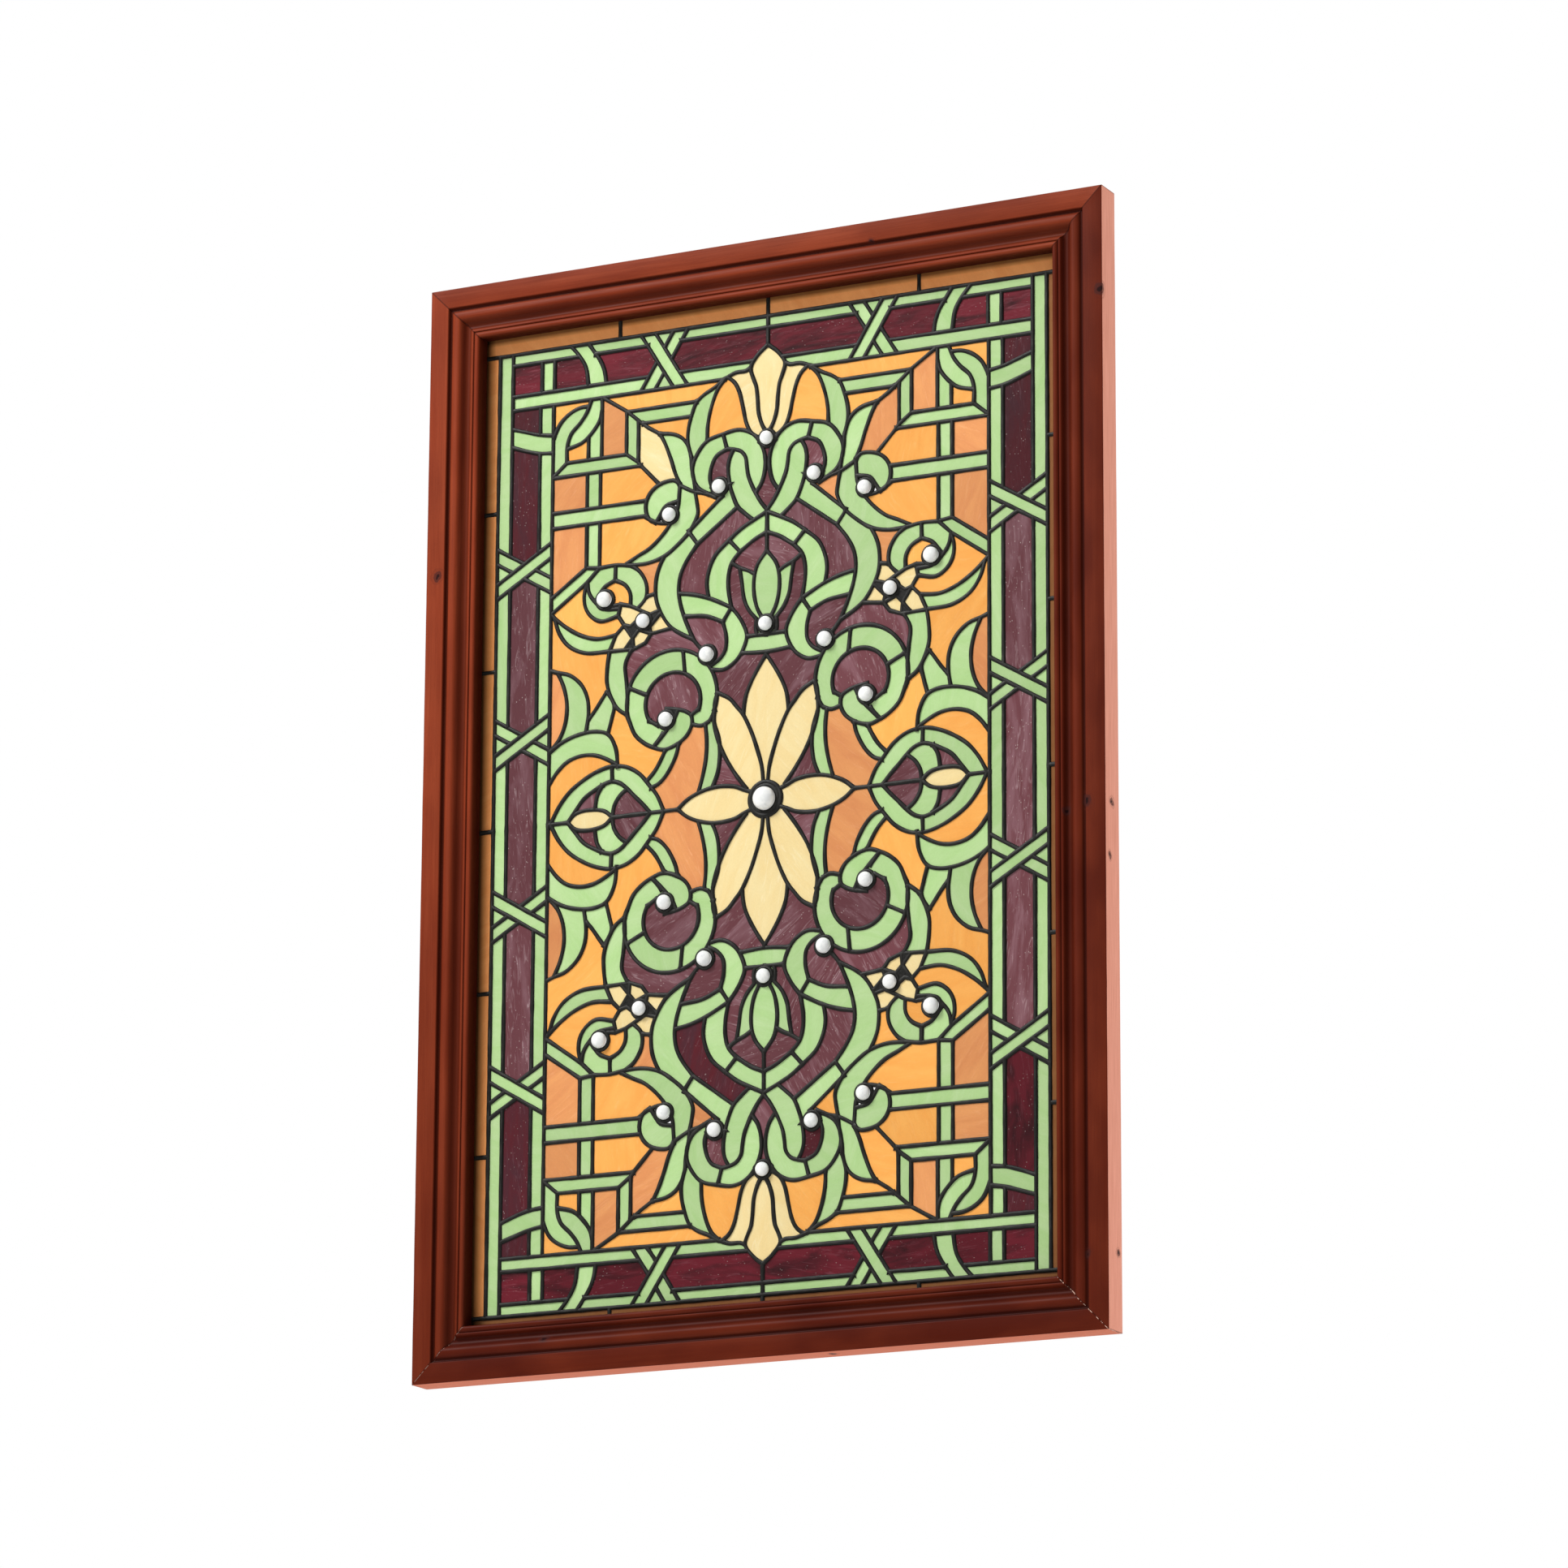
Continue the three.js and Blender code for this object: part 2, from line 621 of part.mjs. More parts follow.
function fill(loop) {
  const contour = loop.map(({ x, z }) => new THREE.Vector2(x, z));
  return THREE.ShapeUtils.triangulateShape(contour, []).map((face) => face.map((i) => loop[i]));
}

// The bevels from the ridge along the tile's edges down to its glass.
function bevels(rim, { inner, corners }) {
  const faces = [];
  rim.forEach((a, k) => {
    const next = (k + 1) % rim.length;
    const b = rim[next];
    const p = inner[corners[k]];
    const q = inner[corners[next]];
    if (p === q) faces.push([a, b, p]);
    else if (!a.open && turn(a, q, p) > 0) faces.push([a, b, q], [a, q, p]);
    else if (!a.open) faces.push([a, b, p], [b, q, p]);
  });
  return faces;
}

const BEVEL_SHARES = [1, 0.75, 0.5, 0.3];

// Inside its collar a jewel sits on solder, not on glass.
function isSeat(loop) {
  return COLLARS.some(({ x, z, reach }) => loop.every((p) => Math.hypot(p.x - x, p.z - z) < reach + WELD));
}

// One tile: the glass, low and flat, and the bevels of its rim. A gap too narrow to
// hold glass is filled with solder to the height of the ridges.
function tileFaces(loop) {
  if (isSeat(loop)) return fill(loop.map((p) => ({ ...p, rise: SOLDER_RISE })));
  const rim = loop.map((p, k) => {
    const before = loop[(k + loop.length - 1) % loop.length];
    return { ...p, rise: p.open && before.open ? 0 : SOLDER_RISE };
  });
  for (const share of BEVEL_SHARES) {
    const shrunk = inset(loop, share);
    if (!shrunk) return fill(rim);
    const inner = shrunk.inner.map(({ x, z }) => ({ x, z, rise: 0 }));
    const slopes = bevels(rim, { inner, corners: shrunk.corners });
    const sound = slopes.every(([p, q, r]) => turn(p, q, r) > -0.02);
    if (sound && area(inner) > 0.5 && isSimple(inner)) return [...slopes, ...fill(inner)];
  }
  return fill(rim);
}

// ---- the leaded field ------------------------------------------------------------

function quarterFaces() {
  const drawn = Object.values(DRAWING).flatMap(({ straight, curved }) => [
    ...(straight ? rows(straight) : []),
    ...(curved ? rows(curved).map(smooth) : []),
  ]);
  const disk = DISK_ARCS.map((shape) => simplify(arc(...shape, 48)));
  const collars = COLLARS.flatMap(collarLines);
  const lines = joinEnds([...drawn, ...disk, ...bandLines(), ...collars]);
  const cut = toGraph([...toSegments(OPEN_LINES, true), ...toSegments(lines, false)]);
  const clean = withoutLooseEnds(outsideCollars(cut));
  return tiles(clean).flatMap(tileFaces);
}

// Collects faces as an indexed geometry whose corners are shared.
class Mesher {
  constructor() {
    this.positions = [];
    this.index = [];
    this.known = new Map();
  }

  corner(x, y, z) {
    const key = [x, y, z].map((value) => Math.round(value * 1000)).join();
    if (!this.known.has(key)) {
      this.known.set(key, this.positions.length / 3);
      this.positions.push(x, y, z);
    }
    return this.known.get(key);
  }

  face(a, b, c) {
    if (a !== b && b !== c && c !== a) this.index.push(a, b, c);
  }

  // Each side of a face that no other face shares, in the direction it runs.
  rim() {
    const sides = new Set();
    for (let i = 0; i < this.index.length; i += 3) {
      const face = this.index.slice(i, i + 3);
      face.forEach((a, k) => sides.add(`${a},${face[(k + 1) % 3]}`));
    }
    return [...sides].map((side) => side.split(',').map(Number))
      .filter(([a, b]) => !sides.has(`${b},${a}`));
  }

  geometry() {
    const geometry = new THREE.BufferGeometry();
    geometry.setAttribute('position', new THREE.Float32BufferAttribute(this.positions, 3));
    geometry.setIndex(this.index);
    geometry.computeVertexNormals();
    return geometry;
  }
}

// The upper and lower strips of border glass have different heights, because the
// pattern sits lower than the frame's middle, and the lower band is a little narrower.
function fieldZ(z, side) {
  if (z >= (BORDER_Z + QUARTER_Z) / 2) {
    return (side > 0 ? FIELD_UP : -FIELD_DOWN) - PATTERN_DROP;
  }
  if (side > 0) return z - PATTERN_DROP;
  const t = Math.min(1, Math.max(0, (z - SQUEEZE.from) / (SQUEEZE.to - SQUEEZE.from)));
  return SQUEEZE.by * t * t * (3 - 2 * t) - z - PATTERN_DROP;
}

function leadedGlassGeometry() {
  const mesher = new Mesher();
  const quarter = quarterFaces();
  for (const sideX of [1, -1]) {
    for (const sideZ of [1, -1]) {
      for (const corners of quarter) {
        const [a, b, c] = corners.map(
          ({ x, z, rise }) => mesher.corner(x * sideX, GLASS_FRONT - rise, fieldZ(z, sideZ)));
        if (sideX * sideZ > 0) mesher.face(a, b, c);
        else mesher.face(a, c, b);
      }
    }
  }
  const back = GLASS_FRONT + GLASS_THICKNESS;
  const behind = (i) => mesher.corner(mesher.positions[3 * i], back, mesher.positions[3 * i + 2]);
  const rim = mesher.rim();
  const next = new Map(rim);
  const outline = [rim[0][0]];
  while (next.get(outline.at(-1)) !== outline[0]) outline.push(next.get(outline.at(-1)));
  for (const [a, b] of rim) {
    mesher.face(b, a, behind(a));
    mesher.face(b, behind(a), behind(b));
  }
  const flat = outline.map((i) => ({ x: mesher.positions[3 * i], z: mesher.positions[3 * i + 2], i }));
  for (const [a, b, c] of fill(flat)) mesher.face(behind(a.i), behind(c.i), behind(b.i));
  return mesher.geometry();
}

// ---- jewels ----------------------------------------------------------------------

// A cabochon: a flat-backed dome that stands on its seat of solder.
function jewelGeometry(radius, sides) {
  const r = radius - CLEARANCE / 2;
  const rise = radius * JEWEL_RISE;
  const dome = [[0, 0], [r, 0], [r * 0.8, rise * 0.7], [0, rise]];
  const geometry = new THREE.LatheGeometry(dome.map(([x, y]) => new THREE.Vector2(x, y)), sides);
  geometry.rotateY(Math.PI / sides);
  return geometry.rotateX(Math.PI);
}

function jewels() {
  const meshes = [];
  const add = (name, [x, z, radius], sideX, sideZ, sides) => {
    const mesh = new THREE.Mesh(jewelGeometry(radius, sides), JEWEL_GLASS);
    mesh.name = name;
    mesh.position.set(x * sideX, JEWEL_SEAT - CLEARANCE, fieldZ(z * Z_SCALE, sideZ));
    meshes.push(mesh);
  };
  for (const [sideZ, level] of [[1, 'upper'], [-1, 'lower']]) {
    for (const [sideX, hand] of [[1, 'right'], [-1, 'left']]) {
      QUARTER_JEWELS.forEach((jewel, i) => {
        add(`jewel_${level}_${hand}_${i + 1}`, jewel, sideX, sideZ, SMALL_SIDES);
      });
    }
    AXIS_JEWELS.forEach((jewel, i) => {
      add(`jewel_${level}_middle_${i + 1}`, jewel, 1, sideZ, SMALL_SIDES);
    });
  }
  add('jewel_centre', CENTRE_JEWEL, 1, 1, CENTRE_SIDES);
  return meshes;
}

// ---- the wooden frame ------------------------------------------------------------

// The section of a member: u from the frame's outer edge inwards, y back from the
// front. The front has a flat, a quirk, an ovolo, a cove and a double bead, and a
// groove in the inner side holds the field.
function memberSection() {
  const grooveFront = GLASS_FRONT - SOLDER_RISE - CLEARANCE;
  const grooveBack = GLASS_FRONT + GLASS_THICKNESS + CLEARANCE;
  return [
    [0, 1], [1, 0], [16.8, 0], [17.4, 2.2], [19.2, 2.6],
    [20.4, 1.4], [22.6, 0.5], [25.4, 0.3], [27.6, 1.2], [29, 3],
    [30.4, 5.2], [32.6, 6.4], [34.8, 6.2], [36.4, 5],
    [37, 3.6], [38.4, 2.9], [39.6, 3.6], [40.8, 2.8], [42.6, 2.3], [44.2, 3],
    [FACE, 5],
    [FACE, grooveFront], [FACE - GROOVE_DEPTH, grooveFront],
    [FACE - GROOVE_DEPTH, grooveBack], [FACE, grooveBack],
    [FACE, DEPTH - 1], [FACE - 1, DEPTH],
    [3, DEPTH], [0.9, DEPTH - 0.9], [0, DEPTH - 3],
  ].map(([u, y]) => new THREE.Vector2(u, y));
}

// A member of the frame, mitred at both ends. Its length runs along X and its outer
// edge lies at z = 0 before it is turned into place.
function memberGeometry(length) {
  const shape = new THREE.Shape(memberSection());
  const geometry = new THREE.ExtrudeGeometry(shape, { depth: 1, steps: 1, bevelEnabled: false });
  const at = geometry.attributes.position;
  for (let i = 0; i < at.count; i += 1) {
    const u = at.getX(i);
    const y = at.getY(i);
    const end = at.getZ(i) > 0.5 ? 1 : -1;
    at.setXYZ(i, end * (length / 2 - u - JOINT_GAP), y, -u);
  }
  geometry.computeVertexNormals();
  return geometry;
}

function frameMembers() {
  const place = (name, length, x, z, turnY) => {
    const mesh = new THREE.Mesh(memberGeometry(length), WOOD);
    mesh.name = name;
    mesh.position.set(x, 0, z);
    mesh.rotation.y = turnY;
    return mesh;
  };
  return [
    place('top_rail', WIDTH, 0, HEIGHT / 2, 0),
    place('bottom_rail', WIDTH, 0, -HEIGHT / 2, Math.PI),
    place('left_stile', HEIGHT, -WIDTH / 2, 0, -Math.PI / 2),
    place('right_stile', HEIGHT, WIDTH / 2, 0, Math.PI / 2),
  ];
}

// ---- the panel -------------------------------------------------------------------

const WOOD = new THREE.MeshStandardMaterial({ color: 0x7a3216, roughness: 0.45, metalness: 0 });
const LEADED_GLASS = new THREE.MeshStandardMaterial({ color: 0x8fb96a, roughness: 0.3, metalness: 0 });
const JEWEL_GLASS = new THREE.MeshStandardMaterial({ color: 0xf2f2f0, roughness: 0.08, metalness: 0 });

function leadedGlass() {
  const mesh = new THREE.Mesh(leadedGlassGeometry(), LEADED_GLASS);
  mesh.name = 'leaded_glass';
  return mesh;
}

const panel = new THREE.Group();
panel.add(...frameMembers(), leadedGlass(), ...jewels());
panel.position.copy(HANG).negate();

const group = new THREE.Group();
group.add(panel);

export default group;
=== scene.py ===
"""A stained glass window panel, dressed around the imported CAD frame.

Leading, glass tiles, jewels and the moulded wooden frame are built here in finer
detail than in the solids. The drawing is in millimetres from the pattern's centre,
and everything else is in metres in the row frame.
"""
import math
import random

import bpy
from mathutils import Matrix, Vector, noise
from mathutils.geometry import delaunay_2d_cdt

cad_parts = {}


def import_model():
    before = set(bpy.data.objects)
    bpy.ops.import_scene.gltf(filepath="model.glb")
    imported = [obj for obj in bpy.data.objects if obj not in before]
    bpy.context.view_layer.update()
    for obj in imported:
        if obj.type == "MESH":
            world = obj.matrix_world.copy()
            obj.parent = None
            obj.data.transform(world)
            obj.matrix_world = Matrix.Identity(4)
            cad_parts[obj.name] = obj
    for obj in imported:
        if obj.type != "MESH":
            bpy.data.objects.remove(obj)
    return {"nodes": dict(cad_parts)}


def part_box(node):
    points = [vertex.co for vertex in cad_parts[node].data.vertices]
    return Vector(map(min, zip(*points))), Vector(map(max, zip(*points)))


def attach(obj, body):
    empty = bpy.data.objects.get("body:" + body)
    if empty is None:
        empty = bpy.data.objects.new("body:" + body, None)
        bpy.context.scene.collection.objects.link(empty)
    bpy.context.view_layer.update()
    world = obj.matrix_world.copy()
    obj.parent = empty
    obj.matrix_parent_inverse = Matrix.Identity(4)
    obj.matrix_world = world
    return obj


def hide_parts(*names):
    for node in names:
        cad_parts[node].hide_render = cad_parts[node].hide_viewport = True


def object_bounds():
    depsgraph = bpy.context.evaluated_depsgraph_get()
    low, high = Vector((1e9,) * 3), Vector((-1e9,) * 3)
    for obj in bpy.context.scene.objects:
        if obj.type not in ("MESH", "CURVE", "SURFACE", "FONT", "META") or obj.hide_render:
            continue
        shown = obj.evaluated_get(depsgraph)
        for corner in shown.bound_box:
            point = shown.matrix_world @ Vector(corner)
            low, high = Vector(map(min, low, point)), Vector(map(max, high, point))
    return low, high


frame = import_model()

CAD_BOX = [list(corner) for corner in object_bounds()]
MM = 0.001

# ---- sizes from the frame ----

FIELD_LOW, FIELD_HIGH = (Vector(corner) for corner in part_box("leaded_glass"))
FRAME_LOW, FRAME_HIGH = (Vector(corner) for corner in CAD_BOX)
JEWEL_LOW, JEWEL_HIGH = (Vector(corner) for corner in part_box("jewel_centre"))

SOLDER_RISE = 1.3 * MM  # the solder's ridges stand this far in front of the glass
BACK_RISE = 0.5  # and this far behind it at the back, in millimetres
GLASS_FRONT = FIELD_LOW.y + SOLDER_RISE
GLASS_BACK = FIELD_HIGH.y
CENTRE = Vector(((JEWEL_LOW.x + JEWEL_HIGH.x) / 2, 0, (JEWEL_LOW.z + JEWEL_HIGH.z) / 2))
FIELD_X = (FIELD_HIGH.x - FIELD_LOW.x) / 2 / MM
FIELD_UP = (FIELD_HIGH.z - CENTRE.z) / MM
FIELD_DOWN = (CENTRE.z - FIELD_LOW.z) / MM

BORDER_Z = 403.5  # the pattern's uppermost line
DRAWN_BORDER_Z = 405.5  # the same line in the drawing
Z_SCALE = BORDER_Z / DRAWN_BORDER_Z
QUARTER_Z = BORDER_Z + 12  # the quarter is drawn a little past the field's edge

# ---- the drawing ----
# The centre lines of the solder in the upper right quarter, as x,z in millimetres.
# A row runs straight from point to point, and one that starts with ~ is a smooth curve.

DRAWING = {
    "border": """
        248.5,0 248.5,405.5; 0,405.5 268,405.5; 197.5,0 197.5,357; 38,357 236.2,357;
        174,395.8 236.2,395.8; 197,369 197,395.8; 208.8,369 208.8,395.8; 209.8,333 209.8,357;
        0,405.5 0,417; 136,405.5 136,417; 248.5,135 268,135; 248.5,270 268,270; 248.5,0 268,0;
        0,381 0,405.5;
        ~ 165.5,405.5 160,397.5 154.3,389 150.6,380 148.8,369;
        ~ 182,405.5 174,396 168,385.5 165.3,369;
        ~ 197.5,330.8 211,333.2 222,336.6 236.2,341.2;
        ~ 197.5,315.6 211,317.2 222,320.4 236.2,325.6""",
    "cornerKnot": """
        152.2,305.2 152.2,357; 164.6,305.2 164.6,325; 129.2,305.2 184.4,305.2 197.5,294.2;
        114.6,293.7 197.5,293.7; 99,276 114.6,292.5 118.2,297 129.2,305.2 129.2,342;
        118.2,297 118.2,332; 97.5,318 109,325.2 115.5,330.2 128.5,341.6 151,356.5;
        70,329.6 115,329.6; 63.5,341.6 128.5,341.6;
        ~ 162.2,357 166.3,346.6 172.3,338.3 181,329.5 184.4,319 184.4,305.2;
        ~ 152.2,346 154.2,338.3 160.7,329 169.8,321.2 184.4,317;
        ~ 164.3,351.4 172.6,351.2 182,347.6 191,340 197.3,328""",
    "bigTulip": """
        ~ 0,381 8.7,374 15.6,363.6 13.6,355 10.6,347 9.2,336 8.2,324 5.2,314 2,308;
        ~ 15.6,363.6 20,361.4 29,361.2 40,357;
        ~ 36.8,358.6 30,352.5 25.8,344 22.5,331 19.3,317 15,308.5 8,303;
        ~ 38.5,357.4 45.6,349 51.4,334.5 54.4,320 54.9,307.3;
        ~ 40,357 48,351.4 58,346.4 65,340.5 69.4,330 72.2,319 72.6,308 69.2,294.5;
        ~ 6.8,299.6 12,305.8 19,310.3 27.6,312.3 40.4,310.4 54.9,306.4 63.6,297 68.2,286 66.8,275 62,267
        52,260.6""",
    "loops": """
        40.4,310.4 36.8,297.2; 32,267 37,267;
        ~ 6.8,299.6 2.6,289 1.9,277 5,264.6 10.5,256.5;
        ~ 36.8,297.2 30.6,296.2 24,293.6 19.8,288 18.6,280 17.2,272 14.2,264 10.5,256.5 5.5,248 0,241;
        ~ 36.8,297.2 46.4,292.4 51.3,282 52,273 49.8,266.5;
        ~ 30.6,296.2 34.2,289 35.6,281 34,267 31.6,258.5 26.6,247 20,240.4 12.3,233.8""",
    "leafByLoops": """
        ~ 69.2,294.5 72.6,305 77.5,311.8 86,316.6 98.5,318.8;
        ~ 69.2,294.5 68.9,286 66.5,273 65.6,266;
        ~ 98.5,318.8 93.8,310 88.3,296 84.2,283.5 79.6,273""",
    "upperCurl": """
        110.6,263.3 197.5,263.3; 110,250.3 197.5,250.3; 153,263.3 153,293.7;
        165.2,263.3 165.2,293.7; 153,211.4 153,250.3; 165.2,213 165.2,250.3;
        153,211.4 165.2,213 197.5,190.6; 153,211.4 164.2,200.6 197.5,177.2;
        ~ 47,257.8 57,262.3 65.6,264.6 79.6,272;
        ~ 79.6,272.6 84,276.8 91,277.2 100.5,274.4 107.5,268.3 110.8,260 109.8,251 106,245.5 101,243.4;
        ~ 101,243.4 97,250 92,256.4 80.8,259;
        ~ 65.6,264.6 63.8,255 63,245.5 69.6,232.8 81,222 93.4,213.8 108,210 124,210;
        ~ 79.6,272 80.2,264 81.2,254.2 86.4,243 95,232.2 106.4,222.5 117.5,217.2 128,211.8;
        ~ 87,241 99,242.8 107.5,247 112,250.3""",
    "ribbonAndCrescent": """
        40.4,258.2 71.2,231.6; 26.6,247 63,220.3 71.2,231.6;
        ~ 93.4,213.8 98,204.5 100.6,195 100.6,179 96,166.4 87.6,154 78,146.8 66.3,140.6;
        ~ 63,220.3 72.8,207.4 78.2,196.5 80,184.6 78.3,172 73.8,158 66.3,140.6""",
    "innerRibbon": """
        34.3,219.8 24.3,208.8; 31.8,163 39.4,151.7; 0,136.9 17.8,137; 0,222.4 0,239.6;
        0,206.8 0,222.4;
        ~ 0,239.6 12.3,233.8 24,227.6 34.3,219.8;
        ~ 0,222.4 11,217.6 24.3,208.8;
        ~ 34.3,219.8 46.6,208.8 52.4,196.5 54.2,186 52.8,174.6;
        ~ 24.3,208.8 31.7,200.3 34.5,190 34.5,178 31.8,163;
        ~ 79.8,180.6 67,178.2 51.6,173 31.8,163;
        ~ 39.4,151.7 54,158.2 74.5,160.8;
        ~ 31.8,163 25.8,155.6 20.6,147 17.6,138 20.2,128 27,118 37.6,112 49.4,112.8;
        ~ 39.4,151.7 36.4,140 37,128 42.4,120.8 49.4,117;
        ~ 0,122 11,122.6 22.6,123.8;
        ~ 58,131 61.6,134.6 66.3,140.6""",
    "smallTulip": """
        ~ 0,206.8 8.4,195.6 11.3,185 11.3,172 8.6,160 4,151;
        ~ 11.4,188.6 17,192 24.4,195.2 31.8,200.4;
        ~ 24.4,195.2 22.4,183 20.2,168.4 15.8,158.6 8.6,150;
        ~ 9.2,148 9.6,142 8,137""",
    "ringScroll": """
        138,212 138.3,199.2;
        ~ 124,210 116,204 109.6,192.5 109.8,181 117.6,172.4;
        ~ 124,210 138,212 153,211.4;
        ~ 138.3,199.2 129.3,194.2 124.4,186.4 124,175.8;
        ~ 138.3,199.2 147.5,195 153,188.6 157,183.4;
        ~ 164.2,200.6 162.2,191 157,183.4 149,176.4 134,174.4;
        ~ 164.2,200.6 166.8,190 165.6,179.6 160.4,171.4 151,166 135.2,168.6;
        ~ 137,152.6 154.5,151.6 170,156.6 184,165.3 197.5,177.2;
        ~ 194,173.4 189.6,160.4 180.6,148.6 165.5,141 142.8,139.6""",
    "smallFlower": """
        100.6,183.2 109.7,181.8;
        98.4,168.4 106.4,166.2 117.6,172.4 124,175.8 133,178.2 135.2,168.6 129.6,160 137,152.6
        142.8,139.6; 129.6,160 123.6,158.2 116.4,163.6; 133,178.2 140.5,177.6;
        97.2,165.2 106.4,155.6 104.6,150 86,152.4;
        104.6,150 110,142.8 120.6,138.8 121.6,148.2 116,154.6 104.6,150;
        129.6,160 121.6,148.2 128.4,139.6""",
    "diskScroll": """
        105.4,76.8 97,71.6; 93,64.6 101.8,54.2; 73.6,113 75.4,132.8; 108,98.6 124.2,106.4;
        ~ 124,78.5 118.5,66.5 110,58.6 101.8,54.2 92,51.2 80.6,54.2 71,61 66.8,69.4 67.6,77 73.4,81.2
        81,83.6 90,85;
        ~ 50.7,70.2 58,67.4 66.8,69.4;
        ~ 60.7,81.4 64,79.4 67.6,77;
        ~ 79.6,82.6 83,75 89.4,67 101.8,54.2""",
    "sRibbonAndLeaves": """
        120.6,138.8 142.8,139.6;
        ~ 122.4,139 128.2,127 127,112 125.8,97 126.4,84.4;
        ~ 142.8,139.6 144.6,127 144.8,113 140.4,99.6 134.4,90 126.4,84.4;
        ~ 126.4,84.4 125.4,81 124,78.5;
        ~ 144.8,106 138,93.6 139.8,83.6 143,71.8;
        ~ 144.8,106 149.5,99.6 156,90.6 161.4,84.4;
        ~ 197.5,129.8 190.4,127.2 179.4,123.8 168.6,114.6 162.8,103 161.4,90 163.4,75;
        ~ 190.4,127.2 184.6,114 181.6,100 182.6,84.6 188,71 197.5,60.4;
        ~ 126.4,84.4 131,87.2 137.4,92.6""",
    "sideBud": """
        139.4,42.7 139,30; 79,0 138.4,0; 179.4,0 197.5,0;
        ~ 133.9,40 134.2,43 136,57 143,69.6 154.4,73.6 171,72.6 186,67.6 197.5,60.4;
        ~ 134.2,43 144.4,49.2 155,53.6 167.6,54.6 180,51.2 189,44 197.5,33;
        ~ 91.6,0 97.8,13.6 105,23 114,33.4 126,40.6 139.4,42.7 153,39.7 165.4,34 178.4,25 188,13.6
        195.5,0;
        ~ 104,0 110,7 118,15 125.2,22.4 131.6,27.6 139,30 146,28.6 153.4,25.2 164.4,18.6 173,8.4 179.4,0;
        ~ 125.2,22.4 132,17 137,9 138.4,0;
        ~ 147.6,28.2 152.4,20 154.6,8;
        ~ 138.4,0 146,6 160,8.4 172.4,6.4 179.4,0""",
    "leavesByFlower": """
        ~ 78.4,55.4 81,45 89,30.6 97,23 104.6,20.6;
        ~ 90.4,51.4 94,44 100,34.4 107.6,26.4;
        ~ 46.4,78 46.6,68 43.3,54.5 37,39.6 27.2,23.6 17.2,10.4;
        ~ 46.6,68 42.4,55 41.2,44 43,27 47.6,15;
        ~ 54.6,69 53.2,55 53.6,41 56.2,26.4 60.4,11.6""",
    "centreFlower": """
        ~ 0,120 6.8,109.8 13.8,97.6 18.4,86 20.4,72;
        ~ 43.6,93 33,87 26,79 20.4,72 13,57 7.6,42 3.4,27 1.8,12;
        ~ 43.6,93 46,86 46.4,78;
        ~ 12,7 19,9.6 28,13.4 45.6,14.8 60.4,11.6 71,6.6 79,0""",
}

# Centre, radius, and first and last angle of the arcs inside the disk.
DISK_ARCS = [(85.3, 92.6, 41.2, -20, 213), (84.2, 90, 25, -32, 200)]

# x, z and radius of the jewels in the quarter, on the upright axis and in the middle.
QUARTER_JEWELS = [
    (43, 266, 6.2), (88.3, 248, 6.2), (147.3, 183.7, 6.8),
    (111.3, 161, 6.2), (53.1, 125.9, 6.6), (89.8, 75.9, 6.4),
]
AXIS_JEWELS = [(0, 301.4, 6), (0, 145.3, 6.2)]
CENTRE_JEWEL = (0, 0, 10)
COLLAR_GAP = 0.9  # from a jewel's edge to the middle of the solder round it
SEATS = [*QUARTER_JEWELS, *AXIS_JEWELS, CENTRE_JEWEL]

# One point in each tile of the quarter, by the glass it is cut from.
GLASS_OF_TILE = {
    "green": """
        242,30 242,145 242,300 203.5,30 203.5,145 203.5,270 150,400.5 60,400.5 220,400.5
        100,363 60,363 222,363 158,385 217,328 203,382 203,345 168,331 190,320 155,299.5
        123.7,320 95,336 158.5,320 158.5,278 158.5,230 150,257 180,196 62,325 80,300 12,285
        58,290 25,270 95,266 72,245 48,242 90,190 15,225 44,190 55,168 27,135 5,130 3,180
        16,175 116,190 150,202 160,178 165,146 52,95 95,124 117,90 76,65 134,120 149,88
        170,95 165,64 120,33 172,22 142,18 47,40 90,37
        202,217 202,72.5 208,208 208,62.5 223,217 223,72.5 238,227 238,81.5 244,217 244,72.5
        85,396 95,362 95,381 95,401""",
    "amber": """
        100,349 38,330 90,322 174,312 185,350 130,278
        130,232 131,186 180,178 150,160 155,115 175,133 120,50 165,45""",
    # the amber edge strips, which get painted light and shade by side and a painted shadow along the
    # frame's walls
    "edge_amber_lit_and_shaded": "260,60 260,200 260,340 60,412 200,412",
    "peach": "140,325 103,300 180,278 180,230 57,255 105,198 191,95 75,35",
    "cream": "3,345 18,340 160,3 104,176 115,168 125,166 130,152 101,158 112,147 4,80 30,70 45,6",
    "purple": """
        223,40 223,145 3,260 43,280 50,220 10,205 27,180 50,140 80,140 115,125 84,100
        30,105 37,22 122,10 160,14""",
    "plum": "223,270 222,347",
    "maroon": "60,382 130,382 222,382 185,382",
}
BANDS = {"plum": math.pi / 2, "maroon": 0.0}  # these are cut with their streaks along the band
ODD_TILES = [  # cut from another glass in one quarter only: a point in it, the quarter, the glass
    (103, 300, (-1, 1), "cream"), (103, 300, (1, -1), "amber"), (57, 255, (-1, 1), "amber"),
    (57, 255, (1, -1), "amber"), (105, 198, (1, -1), "amber"), (43, 280, (1, -1), "plum"),
    (50, 220, (-1, -1), "plum"), (223, 270, (1, -1), "maroon"),
]

# ---- lines ----


def rows(text):
    """The lines of a drawing text."""
    lines = []
    for row in text.split(";"):
        words = row.split()
        pairs = [word.split(",") for word in words if word != "~"]
        line = [(float(x), float(z) * Z_SCALE) for x, z in pairs]
        lines.append(smooth(line) if words[0] == "~" else line)
    return lines


